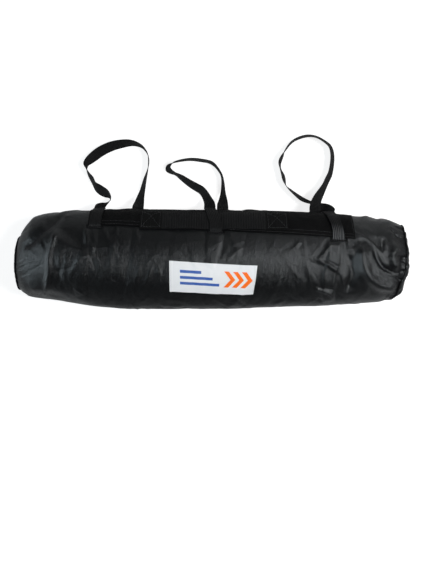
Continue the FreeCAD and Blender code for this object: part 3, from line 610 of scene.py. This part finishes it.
def end_piece(cloth, side, word):
    """The oval panel in one end, puckered where the seam gathers it."""
    ring = cloth.form[0 if side < 0 else -1]
    m = len(ring)
    middle = (ring.max(axis=0) + ring.min(axis=0)) / 2
    chance = np.random.default_rng(23 if side < 0 else 31)
    waves = sum(chance.normal(0, 1) * np.sin(count * 2 * math.pi * np.arange(m) / m + chance.uniform(0, 6))
                for count in (5, 7, 9, 13, 16, 21, 26, 33)) / 3
    forward = -(ring[:, 1] - middle[1]) / np.ptp(ring[:, 1]) * 2
    shares = np.concatenate([[0, 0.006, 0.015, 0.03, 0.05, 0.075], np.linspace(0.11, 0.97, 20)])
    points, faces, places = [], [], []
    for share in shares:
        bulge = panel_bulge[side] + front_bulge[side] * forward * (1 - share)
        rise = bulge * math.sqrt(1 - (1 - share) ** 4)
        pucker = (1.5 * math.exp(-share / 0.13) * min(share / 0.03, 1)
                  + 0.12 * math.exp(-((share - 0.3) / 0.2) ** 2))
        loop = middle + (ring - middle) * (1 - share)
        loop[:, 0] += side * (rise + pucker * waves)
        points += list(loop)
    points.append(np.array(points[-m:]).mean(axis=0))
    for k in range(0, len(points) - 1, m):
        for j in range(m):
            onward = (j + 1) % m
            inner = [k + m + onward, k + m + j] if k + m < len(points) - 1 else [k + m]
            faces.append([k + j, k + onward, *inner][::side])
            places += [points[corner][1:] for corner in faces[-1]]
    return place_piece(f"end_{word}", points, faces, places, "bag_cloth", 70)


def band_edge(x):
    """The angle of the band's front edge at x."""
    return band_front_angle + band_slant * x


def label_top(x):
    """The angle of the label's back edge at x."""
    return label_top_angle + label_slant * x


def top_radius(x):
    """The bag's radius over its top at x."""
    return cross_section(x)[2][2]


def slot_angle(x):
    """The angle of a strap's front slot."""
    return band_edge(x) + math.degrees(welt_height / 2 / top_radius(x)) - 1.2


def layer(cloth, name, finish, left, right, first, last, height, thickness, across, step=mesh_step,
          holes=None, narrower=0.0):
    """A layer that lies on the cloth between two places along it and two edges round it."""
    share = np.linspace(0, 1, across + 1)[None, :]
    x = places_between(left, right, step)[:, None]
    x = x - narrower * share * ((x - left) / (right - left)) ** 2
    low, high = (edge(x) if callable(edge) else edge for edge in (first, last))
    angle = low + (high - low) * share
    middle = cloth.at(x, angle, height(x, share))
    if holes is not None:
        holes = holes(*((grid[:-1, :-1] + grid[1:, 1:]) / 2 for grid in (x, angle)))
    return thick_piece(name, middle, thickness, finish, holes=holes)


def handle_height(x, share):
    """The handle lies flat at its sewn ends and under the middle strap, and stands up a little between."""
    from_patch = np.minimum(x - handle_left, handle_right - x) - handle_patch
    under_strap = 1 - 0.9 * (1 - ease(14, 46, np.abs(x)))
    loose = 2.4 * ease(0, 26, from_patch) * under_strap * (0.7 + 0.3 * share)
    return 2 * layer_gap + band_thickness + webbing_thickness / 2 + loose


def label_height(x, share):
    """The label is folded under at both ends, and not quite flat between its stitches."""
    fold = 1 - ease(5, 6.5, np.minimum(x - label_left, label_right - x))
    wave_height = 0.25 * np.sin(x / 11 + 2 * share) * np.sin(3 * share)
    return layer_gap + label_thickness / 2 + 0.5 * fold + wave_height


def welt(cloth, name, middle_x, middle_angle, reach, height, radius):
    """A patch of cloth with a slit that a strap goes through."""
    half = math.degrees(welt_height / 2 / radius)
    slit = math.degrees(1.8 / radius)
    slit_reach = strap_width / 2 + 1.5
    x = np.concatenate([[-reach], np.linspace(-slit_reach, slit_reach, 15), [reach]])[:, None] + middle_x
    angle = middle_angle + np.array([-half, -half * 0.7, -slit, slit, half * 0.7, half])[None, :]
    middle = cloth.at(x, angle, height)
    mask = np.zeros((len(x) - 1, 5), bool)
    mask[1:-1, 2] = True
    return thick_piece(name, middle, welt_thickness, "piping_cloth", holes=mask)


def strap_piece(cloth, name, strap, finish):
    """A strap in one ring: over the band, in at the front slot, under the load, out and round its loop."""
    spread = np.linspace(-0.5, 0.5, strap_points)[:, None] * strap_width
    run = 2 * layer_gap + band_thickness + webbing_thickness / 2 + strap["lift"]
    inner = -cloth_thickness - 0.5 - webbing_thickness / 2
    hinge_x, hinge_y, hinge_z = strap["hinge"]
    root, slot, back = strap["root"], strap["slot"], strap["back"]

    def on_cloth(x, row, height):
        return cloth.over(x + spread[:, 0], row % len(cloth.rows), height)

    def straight(x, y, z):
        return np.array([x, y, z]) + spread * (1, 0, 0)

    leg_y = hinge_y - webbing_thickness / 2 - 0.7
    rows = [straight(root, leg_y + 0.15 * share, hinge_z + 0.9 + 7.1 * share)
            for share in np.linspace(0, 1, 5)]
    first, last = cloth.row_of(14), cloth.row_of(slot_angle(slot))
    for share in np.linspace(0, 1, strap_rows_over):
        x = root + min(share / 0.75, 1) * (slot - root)
        arched = np.clip((share - strap["arch_from"]) / (1 - strap["arch_from"]), 0, 1)
        arch = strap["arch"] * math.sin(math.pi * arched)
        dive = (run + 0.6) * ease(0.955, 1.0, share)
        rows.append(on_cloth(x, first + share * (last - first), run + arch - dive))
    end = cloth.row_of(rear_slot_angle) + len(cloth.rows)
    tape_reach = math.degrees((tape_width + webbing_thickness) / zip_radius)
    for share in np.linspace(0, 1, strap_rows_under):
        row = last + 1.0 + share * (end - last - 1.6)
        x = slot + np.clip(1.3 * share - 0.15, 0, 1) * (back - slot)
        from_zip = abs(cloth.angles[int(row) % len(cloth.rows)] - zip_angle)
        under_tape = 1.1 * np.clip((tape_reach + 8 - from_zip) / 8, 0, 1)
        rows.append(on_cloth(x, row, inner - under_tape))
    rows.append(straight(back, hinge_y - 0.9, hinge_z))

    spots = [(0, 0, hinge_z, 180), *strap["loop"], (back - hinge_x, 0, hinge_z, 0)]
    course = np.array([spot if len(spot) == 4 else (*spot[:2], strap_width / 2, spot[2]) for spot in spots])
    centres = course[:, :3] + (hinge_x, hinge_y, 0)
    ahead = np.concatenate([centres[1:], centres[-1:]]) - np.concatenate([centres[:1], centres[:-1]])
    ahead[[0, -1], :2] = (0, 1), (0, -1)
    outer = unit(np.cross((0, 0, 1), ahead))
    lean = np.radians(course[:, 3:])
    clockwise = 1 if back > root else -1
    wide = unit(smooth_line(outer * np.cos(lean) + (0, 0, clockwise) * np.sin(lean), 5))
    loop = smooth_line(centres, 5)[:, None] + spread * wide[:, None]
    loop[1:-1] = loop[1:-1] * 0.5 + (loop[:-2] + loop[2:]) * 0.25
    loop[:, :, 2] = np.maximum(loop[:, :, 2], webbing_thickness / 2 + 0.1)
    ring = np.concatenate([rows, loop[-2:0:-1]])
    for _ in range(2):
        ring = ring * 0.6 + (np.roll(ring, 1, axis=0) + np.roll(ring, -1, axis=0)) * 0.2
    return thick_piece(name, ring, webbing_thickness, finish, closed=True)


# Repeated things: stitches along seams and the zip's teeth
def repeat_tree():
    """Puts a small rounded body at even steps along lines, turned to follow them."""
    tree = bpy.data.node_groups.new("along_lines", "GeometryNodeTree")
    sockets = {"Lines": "Geometry", "Step": "Float", "Length": "Float", "Width": "Float", "Height": "Float",
               "Finish": "Material"}
    for name, kind in sockets.items():
        tree.interface.new_socket(name, in_out="INPUT", socket_type=f"NodeSocket{kind}")
    tree.interface.new_socket("Geometry", in_out="OUTPUT", socket_type="NodeSocketGeometry")

    def add(kind, values=None, **settings):
        return add_node(tree, kind, values, **settings).outputs

    given = add("NodeGroupInput")
    curve = add("GeometryNodeMeshToCurve", {0: given["Lines"]})
    spots = add("GeometryNodeCurveToPoints", {"Curve": curve[0], "Length": given["Step"]}, mode="LENGTH")
    turn = add("FunctionNodeAlignRotationToVector", {"Vector": spots["Tangent"]}, axis="X")
    body = add("GeometryNodeMeshUVSphere", {"Segments": 6, "Rings": 5, "Radius": 0.5})
    size = add("ShaderNodeCombineXYZ", {"X": given["Length"], "Y": given["Width"], "Z": given["Height"]})
    copies = add("GeometryNodeInstanceOnPoints", {"Points": spots["Points"], "Instance": body["Mesh"],
                                                  "Rotation": turn["Rotation"], "Scale": size[0]})
    realized = add("GeometryNodeRealizeInstances", {0: copies[0]})
    smooth = add("GeometryNodeSetShadeSmooth", {0: realized[0]})
    finish = add("GeometryNodeSetMaterial", {"Geometry": smooth[0], "Material": given["Finish"]})
    add("NodeGroupOutput", {0: finish[0]})
    return tree


def repeated(name, tree, lines, sizes, finish):
    """A mesh of bodies along lines in millimetres; sizes are the bodies' step, length, width and height."""
    mesh = bpy.data.meshes.new(name)
    points, edges = [], []
    for line in lines:
        edges += [(k, k + 1) for k in range(len(points), len(points) + len(line) - 1)]
        points += (np.asarray(line) * MM).tolist()
    mesh.from_pydata(points, edges, [])
    piece = put(name, mesh)
    modifier = piece.modifiers.new("along_lines", "NODES")
    modifier.node_group = tree
    sockets = {item.name: item.identifier for item in tree.interface.items_tree if item.in_out == "INPUT"}
    for key, value in zip(("Step", "Length", "Width", "Height"), sizes):
        modifier[sockets[key]] = value * MM
    modifier[sockets["Finish"]] = finishes[finish]
    ready = piece.evaluated_get(bpy.context.evaluated_depsgraph_get())
    made = bpy.data.meshes.new_from_object(ready)
    piece.modifiers.remove(modifier)
    piece.data = made
    made.name = name
    return piece


# Finishes
def maths(operation, backwards=False):
    """A method of Value that works out a number with one other, or alone."""
    def method(self, other=0.0):
        first, second = (other, self) if backwards else (self, other)
        return self.finish.node("ShaderNodeMath", {0: first, 1: second}, operation=operation)

    return method


class Value:
    """A shader socket that sums and products can be written with."""

    def __init__(self, finish, socket):
        self.finish, self.socket = finish, socket

    __add__ = __radd__ = maths("ADD")
    __mul__ = __rmul__ = maths("MULTIPLY")
    __sub__, __rsub__ = maths("SUBTRACT"), maths("SUBTRACT", backwards=True)
    __pow__ = maths("POWER")
    sine, size, fraction = maths("SINE"), maths("ABSOLUTE"), maths("FRACT")
    over, highest, lowest = maths("GREATER_THAN"), maths("MAXIMUM"), maths("MINIMUM")


class Finish:
    """A material under construction."""

    def __init__(self, name):
        self.material = bpy.data.materials.new(name)
        self.material.use_nodes = True
        self.tree = self.material.node_tree
        self.tree.nodes.clear()

    def node(self, kind, values=None, out=0, **settings):
        """Adds a node, and gives one of its outputs."""
        values = {name: getattr(value, "socket", value) for name, value in (values or {}).items()}
        node = add_node(self.tree, kind, values, **settings)
        return Value(self, node.outputs[out]) if len(node.outputs) else None

    def noise(self, place, scale, detail=2, roughness=0.5, stretch=(1, 1, 1)):
        """Soft noise between 0 and 1 at so many waves a metre."""
        turned = self.node("ShaderNodeMapping", {"Vector": place, "Scale": stretch})
        return self.node("ShaderNodeTexNoise", {"Vector": turned, "Scale": scale, "Detail": detail,
                                                "Roughness": roughness})

    def mix(self, share, first, second):
        """A colour between two."""
        colours = [c if isinstance(c, Value) else (*c, 1) for c in (first, second)]
        return self.node("ShaderNodeMix", {0: share, 6: colours[0], 7: colours[1]}, 2, data_type="RGBA")

    def surface(self, colour, roughness, height, depth, strength, **plain):
        """Ends the material in one surface with its bump."""
        bump = self.node("ShaderNodeBump", {"Strength": strength, "Distance": depth, "Height": height})
        values = {"Base Color": colour, "Roughness": roughness, "Normal": bump}
        values.update({name.replace("_", " "): value for name, value in plain.items()})
        shader = self.node("ShaderNodeBsdfPrincipled", values)
        self.node("ShaderNodeOutputMaterial", {"Surface": shader})
        return self.material

    def cloth_place(self):
        """The place on a piece's own cloth, along and across, in metres."""
        whole = self.node("ShaderNodeUVMap", uv_map="cloth")
        return whole, *(self.node("ShaderNodeSeparateXYZ", {0: whole}, axis) for axis in (0, 1))

    def object_place(self):
        """The place in the object, in metres."""
        return self.node("ShaderNodeTexCoord", out="Object")


def wave(value, pitch):
    """A sine that repeats at each pitch, in metres."""
    return (value * (2 * math.pi / pitch)).sine()


def bag_cloth_finish(name):
    """Satin black polyester: a fine plain weave with slubs, faint cloudy sheen and a little dust."""
    make = Finish(name)
    whole, u, v = make.cloth_place()
    clouds = make.noise(whole, 14, 3, 0.6)
    slubs = make.noise(whole, 900, 2, 0.6, (0.25, 1.6, 1))
    crimp = make.noise(whole, 170, 4, 0.62, (1.0, 0.7, 1))
    rumple = (make.noise(whole, 52, 4, 0.6, (1.0, 0.8, 1)) - 0.5).size()
    weave = wave(u, 0.0011) * wave(v, 0.0009)
    specks = make.noise(whole, 420, 3, 0.7)
    dust = specks ** 5.0
    colour = make.mix(clouds, (0.0012, 0.0013, 0.0016), (0.0030, 0.0032, 0.0037))
    colour = make.mix(dust * 0.35, colour, (0.05, 0.052, 0.054))
    roughness = 0.25 + clouds * 0.08 + slubs * 0.05
    height = weave * 0.35 + slubs * 0.9 + crimp * 3.6 - rumple * 6.0
    return make.surface(colour, roughness, height, 0.00022, 0.8, Specular_IOR_Level=0.5,
                        Specular_Tint=(0.93, 0.975, 1.0, 1.0))


def woven_finish(name, dark, light, rough, pitch):
    """Plain woven cloth, matt, with a visible thread and slight clouds."""
    make = Finish(name)
    whole, u, v = make.cloth_place()
    clouds = make.noise(whole, 30, 3, 0.6)
    slubs = make.noise(whole, 700, 2, 0.6, (0.3, 1.5, 1))
    weave = wave(u, pitch) * wave(v, pitch)
    colour = make.mix(clouds * 0.7 + slubs * 0.3, dark, light)
    return make.surface(colour, rough + clouds * 0.08, weave * 0.8 + slubs * 0.8, 0.0003, 0.6,
                        Specular_IOR_Level=0.09)


def webbing_finish(name):
    """Polypropylene webbing: ribs along it, or across it on the handle, whose sewn ends are darker."""
    make = Finish(name)
    whole, u, v = make.cloth_place()
    threads = make.noise(whole, 1400, 2, 0.6)
    clouds = make.noise(whole, 40)
    on_handle = name == "handle_webbing"
    ribs, fine = (wave(u, 0.0052), wave(v, 0.0016)) if on_handle else (wave(v, 0.0036), wave(u, 0.0014))
    height = ribs + fine * ribs * 0.25 + threads * 0.7
    colour = make.mix(0.5 + 0.3 * ribs + 0.2 * clouds, (0.0012, 0.0013, 0.0015), (0.0055, 0.0058, 0.0064))
    rough = 0.5 + 0.12 * clouds
    if on_handle:
        half = (handle_right - handle_left) / 2
        sewn = (u - half * MM).size().over((half - handle_patch) * MM)
        colour = make.mix(sewn, colour, (0.0012, 0.0013, 0.0015))
        rough = rough + 0.25 * sewn
    # Painted highlight: the right strap's webbing is painted pale grey beside its slot, palest on the ribs
    if name == "webbing_painted_highlight":
        slot_highlight = ((u - highlight_from) * 45.0).highest(0.0).lowest(1.0) * (1 - u.over(highlight_to))
        colour = make.mix(slot_highlight * (0.45 + 0.55 * ribs), colour, (0.095, 0.098, 0.102))
    return make.surface(colour, rough, height, 0.0005, 0.75, Specular_IOR_Level=0.16)


def label_finish(name):
    """White satin with printed blue bars beside orange chevrons."""
    make = Finish(name)
    whole, u, v = make.cloth_place()
    fibre = make.noise(whole, 900, 2, 0.5, (0.2, 2.0, 1))
    soil = make.noise(whole, 26, 3, 0.55)
    colour = make.mix(soil * 0.5 + fibre * 0.15, (0.86, 0.87, 0.88), (0.73, 0.74, 0.76))

    def between(value, low, high):
        return value.over(low) * (1 - value.over(high))

    level = v - 0.0325
    for end, middle in ((0.104, 0.0125), (0.090, 0.0), (0.066, -0.0125)):
        bar = between(u, 0.022, end) * between(level, middle - 0.003, middle + 0.003)
        colour = make.mix(bar, colour, (0.045, 0.12, 0.42))
    slant = (u - 0.119 + level.size() * 0.8) * (1 / 0.018)
    chevrons = slant.fraction().over(0.45) * between(slant, 0, 2.999) * between(level, -0.0175, 0.0175)
    colour = make.mix(chevrons, colour, (1.0, 0.17, 0.006))
    ridges = wave(v, 0.0008) * 0.4 + fibre * 0.8
    return make.surface(colour, 0.42 + 0.1 * fibre, ridges, 0.00012, 0.5, Sheen_Weight=0.1)


def metal_finish(name, base, rough, metallic, worn, wear):
    """Plated or lacquered metal with fine scratches, a little bare at rubbed places."""
    make = Finish(name)
    place = make.object_place()
    scratches = make.noise(place, 260, 3, 0.6, (0.15, 1.4, 1.4))
    marks = make.noise(place, 90, 4, 0.65)
    rubbed = (marks * 1.6 - 0.86).highest(0.0).lowest(1.0)
    colour = make.mix(rubbed * wear, base, worn)
    return make.surface(colour, rough + scratches * 0.14, scratches, 0.0001, 0.3, Metallic=metallic)


def plastic_finish(name, base):
    """Moulded plastic with a fine grain."""
    make = Finish(name)
    place = make.object_place()
    grain = make.noise(place, 1600)
    clouds = make.noise(place, 60)
    colour = make.mix(clouds, base, tuple(1.7 * part for part in base))
    return make.surface(colour, 0.48 + grain * 0.12, grain, 0.0001, 0.4)


def thread_finish(name, colour):
    """Twisted sewing thread."""
    make = Finish(name)
    place = make.object_place()
    twist = make.noise(place, 1500, 2, 0.5, (1, 2, 1))
    shade = make.mix(twist, tuple(0.6 * part for part in colour), tuple(1.5 * part for part in colour))
    return make.surface(shade, 0.45, twist, 0.0001, 0.4, Sheen_Weight=0.1)


finishes = {name: make(name, *looks) for make, name, *looks in (
    (bag_cloth_finish, "bag_cloth"),
    (woven_finish, "band_cloth", (0.0011, 0.0012, 0.0014), (0.0028, 0.0029, 0.0032), 0.55, 0.0016),
    (woven_finish, "piping_cloth", (0.0026, 0.0028, 0.0032), (0.006, 0.0063, 0.007), 0.5, 0.0012),
    (webbing_finish, "webbing"),
    # webbing with a painted highlight beside the right strap's slot
    (webbing_finish, "webbing_painted_highlight"),
    (webbing_finish, "handle_webbing"),
    (label_finish, "label"),
    (woven_finish, "zip_tape", (0.008, 0.008, 0.009), (0.017, 0.017, 0.019), 0.6, 0.0010),
    (plastic_finish, "zip_coil", (0.012, 0.012, 0.013)),
    (metal_finish, "zip_metal", (0.012, 0.012, 0.013), 0.28, 0.6, (0.35, 0.34, 0.32), 0.35),
    (woven_finish, "sheet_cloth", (0.36, 0.37, 0.355), (0.47, 0.48, 0.46), 0.5, 0.0012),
    (metal_finish, "eyelet_brass", (0.62, 0.46, 0.2), 0.22, 1.0, (0.72, 0.58, 0.32), 0.5),
    (metal_finish, "pole_steel", (0.5, 0.51, 0.52), 0.3, 1.0, (0.36, 0.36, 0.36), 0.5),
    (plastic_finish, "foot_plastic", (0.016, 0.016, 0.016)),
    (metal_finish, "spike_steel", (0.48, 0.49, 0.5), 0.26, 1.0, (0.3, 0.3, 0.3), 0.5),
    (woven_finish, "pouch_cloth", (0.012, 0.012, 0.014), (0.022, 0.022, 0.025), 0.6, 0.0014),
    (thread_finish, "thread", (0.024, 0.0245, 0.027)),
    (thread_finish, "label_thread", (0.6, 0.6, 0.6)),
)}


def give(piece, slot, *stands_for):
    """Attaches a finished piece to the bag and hides the parts it stands for; slot is not used."""
    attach(piece, "bag")
    if stands_for:
        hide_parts(*stands_for)


# Making the bag
cloth = shape_cloth()
give(bag_skin(cloth), "bag_cloth", "bag_body")
for side, word in ((-1, "left"), (1, "right")):
    give(end_piece(cloth, side, word), "bag_cloth", f"end_panel_{word}")
    column = 0 if side < 0 else -1
    ring = cloth.form[column] + cloth.normal[column] * 0.4 + (side * 0.6, 0, 0)
    give(piping(f"piping_{word}", ring), "band_cloth")


def at_back_slots(x, angle):
    """Where the band is cut for the straps' back legs."""
    cut = np.zeros(x.shape, bool)
    for strap in straps.values():
        cut |= (np.abs(x - strap["back"]) < strap_width / 2 + 1) & (np.abs(angle - rear_slot_angle) < 1.7)
    return cut


band = layer(cloth, "top_band_cloth", "band_cloth", band_left, band_right, band_back_angle, band_edge,
             lambda x, share: layer_gap + band_thickness / 2 + 0.5 * np.exp(-((1 - share) / 0.03) ** 2),
             band_thickness, across=44, holes=at_back_slots)
give(band, "band_cloth", "top_band")
handle = layer(cloth, "handle_webbing", "handle_webbing", handle_left, handle_right, handle_back_angle,
               handle_front_angle, handle_height, webbing_thickness, across=20)
give(handle, "webbing", "carry_handle")
label = layer(cloth, "label_satin", "label", label_left, label_right, label_top,
              lambda x: label_top(x) + label_width_angle, label_height, label_thickness, step=1.6, across=22,
              narrower=label_narrower)
give(label, "label", "label_patch")

for word, strap in straps.items():
    slot = strap["slot"]
    front = welt(cloth, f"front_welt_{word}", slot, slot_angle(slot), strap_width / 2 + 6,
                 layer_gap + welt_thickness / 2, top_radius(slot))
    give(front, "band_cloth", f"slot_welt_{word}")
    back = welt(cloth, f"rear_welt_{word}", strap["back"], rear_slot_angle, strap_width / 2 + 2.25,
                2 * layer_gap + band_thickness + welt_thickness / 2, rear_slot_radius)
    give(back, "band_cloth", f"back_welt_{word}")
    # The right strap's webbing carries a painted highlight beside its slot
    webbing = strap_piece(cloth, f"strap_{word}", strap, "webbing_painted_highlight" if word == "right" else "webbing")
    x, y, z = strap["hinge"]
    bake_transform(webbing)
    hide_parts(f"strap_{word}_wrap", f"strap_{word}_loop")

# The zip: tapes behind the mouth, teeth between them
lips = (("upper", -1), ("lower", 1))
for word, side in lips:
    x = places_between(-zip_length / 2 - 5, zip_length / 2 + 5, 5)[:, None]
    edges = sorted(zip_angle + side * math.degrees(away / zip_radius) for away in (0.15, 0.15 + tape_width))
    middle = cloth.at(x, np.linspace(*edges, 7), -tape_depth)
    give(thick_piece(f"tape_{word}", middle, tape_thickness, "zip_tape"), "zip_tape", f"zip_tape_{word}")
along_lines = repeat_tree()
for word, side in lips:
    angle = zip_angle + side * math.degrees(1.25 / zip_radius)
    x = places_between(-zip_length / 2, zip_length / 2, 4)
    lines = [cloth.at(x + 0.5 * side, angle, -0.1)]
    teeth = repeated(f"teeth_{word}", along_lines, lines, zip_tooth, "zip_coil")
    give(teeth, "zip_coil", f"zip_coil_{word}")


# The load inside the bag
def rolled_sheet():
    """The awning's sheet as one spiral of cloth from its outer edge to its core."""
    rows, radius, centre_y, down = [], roll_radius, roll_place, 1
    while radius > roll_core:
        for turn in np.linspace(0, math.pi, 28, endpoint=False):
            away = down * radius
            rows.append((centre_y + away * math.cos(turn), roll_level - away * math.sin(turn)))
        radius -= roll_pitch
        centre_y -= down * roll_pitch
        down = -down
    x = places_between(-roll_half_length, roll_half_length, 24)[:, None]
    row = np.arange(len(rows))
    slack = 0.35 * np.sin(x / 37) * np.sin(row / 9) * ease(0, 6, row)
    y, z = np.array(rows).T
    middle = np.stack(np.broadcast_arrays(x, y, z + slack), axis=-1)
    return thick_piece("rolled_sheet", middle, sheet_thickness, "sheet_cloth")


def pouch():
    """The peg pouch: soft round sides, with a flat sewn seam across each end."""
    low, high = (np.array(corner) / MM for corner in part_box("peg_pouch"))
    middle, half = (low + high) / 2, (high - low) / 2
    turns = np.linspace(0, 2 * math.pi, 49)
    place = np.concatenate([[-1, -0.995], np.linspace(-0.985, 0.985, 40), [0.995, 1]])[:, None] * half[0]
    full = 0.06 + 0.94 * (1 - np.clip(np.abs(place) / half[0], 0, 1) ** 14)
    sag = 0.5 * np.sin(place / 19) + 0.3 * np.sin(place / 7.3)
    y = np.sign(np.cos(turns)) * np.abs(np.cos(turns)) ** 0.45 * (half[1] - 0.6)
    z = np.sign(np.sin(turns)) * np.abs(np.sin(turns)) ** 0.55 * (half[2] - 0.8 + 0.4 * sag) * full
    grid = middle + np.stack(np.broadcast_arrays(place, y, z), axis=-1)
    return thick_piece("pouch", grid, pouch_thickness, "pouch_cloth")


roll = rolled_sheet()
give(roll, "sheet_cloth", "awning_sheet")
give(pouch(), "pouch_cloth", "peg_pouch")
node_finishes = {"sheet_eyelets": "eyelet_brass", "pole_lower": "pole_steel", "pole_middle": "pole_steel",
                 "pole_upper": "pole_steel", "pole_feet": "foot_plastic", "pole_spikes": "spike_steel",
                 "pegs": "spike_steel", "zip_stop_left": "zip_metal", "zip_stop_right": "zip_metal",
                 "zip_slider": "zip_metal", "zip_pull": "zip_metal"}
for name, finish in node_finishes.items():
    nodes[name].material_slots[0].material = finishes[finish]

# Stitches
on_band = layer_gap + band_thickness
x = places_between(band_left + 3, band_right - 3, 3)
seams = [cloth.at(x, band_edge(x) - inset, on_band + 0.3) for inset in (1.6, 5.2)]
angle = places_between(band_back_angle + 2, 60, 2)
seams += [cloth.at(edge, angle, on_band + 0.3) for edge in (band_left + 3, band_right - 3)]
for left in (handle_left + 4, handle_right - handle_patch + 4):
    right = left + handle_patch - 8
    back, front = handle_back_angle + 2.2, handle_front_angle - 2.2
    corners = [(left, back), (right, back), (right, front), (left, front)]
    for first, last in ((0, 1), (1, 2), (2, 3), (3, 0), (0, 2), (1, 3)):
        x, angle = np.linspace(corners[first], corners[last], 16).T
        seams.append(cloth.at(x, angle, on_band + layer_gap + webbing_thickness + 0.1))
for strap in straps.values():
    slot, reach = strap["slot"], strap_width / 2 + 4.2
    x = places_between(slot - reach, slot + reach, 2)
    half = math.degrees(welt_height / 2 / top_radius(slot)) * 0.78
    for angle in (slot_angle(slot) - half, slot_angle(slot) + half):
        seams.append(cloth.at(x, angle, layer_gap + welt_thickness + 0.15))
give(repeated("dark_stitches", along_lines, seams, seam_stitch, "thread"), "band_cloth")
share = np.linspace(0.03, 0.97, 14)
seams = [cloth.at(x, label_top(x) + label_width_angle * share, layer_gap + label_thickness + 0.62)
         for x in (label_left + 2.6, label_right - 2.6 - label_narrower * share)]
give(repeated("label_stitches", along_lines, seams, label_stitch, "label_thread"), "label")

# Floor, light and camera
floor = bpy.data.meshes.new("floor")
floor.from_pydata([(-6, -6, 0), (6, -6, 0), (6, 6, 0), (-6, 6, 0)], [], [(0, 1, 2, 3)])
make = Finish("floor")
seen, mirrored = (make.node("ShaderNodeLightPath", out=ray) for ray in ("Is Camera Ray", "Is Glossy Ray"))
shader = make.node("ShaderNodeBsdfPrincipled", {
    "Base Color": (0.42, 0.42, 0.42, 1), "Roughness": 0.9, "Emission Color": (1, 1, 1, 1),
    "Emission Strength": seen.highest(mirrored * 0.12) * 0.8})
make.node("ShaderNodeOutputMaterial", {"Surface": shader})
floor.materials.append(make.material)
put("floor", floor)

world = bpy.data.worlds.new("studio")
world.use_nodes = True
sky = world.node_tree
paths = add_node(sky, "ShaderNodeLightPath").outputs
shown = add_node(sky, "ShaderNodeMapRange", {"Value": paths["Is Camera Ray"], "To Min": 0.04, "To Max": 1})
background = sky.nodes["Background"].inputs
background["Color"].default_value = (1, 1, 1, 1)
sky.links.new(shown.outputs[0], background["Strength"])
bpy.context.scene.world = world


def soft_light(name, place, target, size, power, colour=(1, 1, 1)):
    """A square lamp at a place, in metres, turned to a target."""
    lamp = bpy.data.lights.new(name, "AREA")
    lamp.energy, lamp.size, lamp.color = power, size, colour
    holder = put(name, lamp)
    holder.location = place
    holder.rotation_euler = (Vector(target) - Vector(place)).to_track_quat("-Z", "Y").to_euler()


soft_light("key", (-6.2, -0.9, 3.1), (0, 0, 0.08), 2.4, 295, (0.85, 0.95, 1.0))
soft_light("top", (1.45, -0.05, 2.2), (0.15, 0, 0.08), 0.75, 54)
soft_light("back", (0.8, 2.8, 0.9), (0, 0, 0.08), 1.6, 9)

view = bpy.data.cameras.new("camera")
view.lens, view.sensor_width = focal_length, 36
view.clip_start = 0.05
camera = put("camera", view)
camera.location = (camera_x * MM, camera_y * MM, camera_height * MM)
bpy.context.scene.camera = camera
bpy.context.scene.view_settings.view_transform = "Standard"
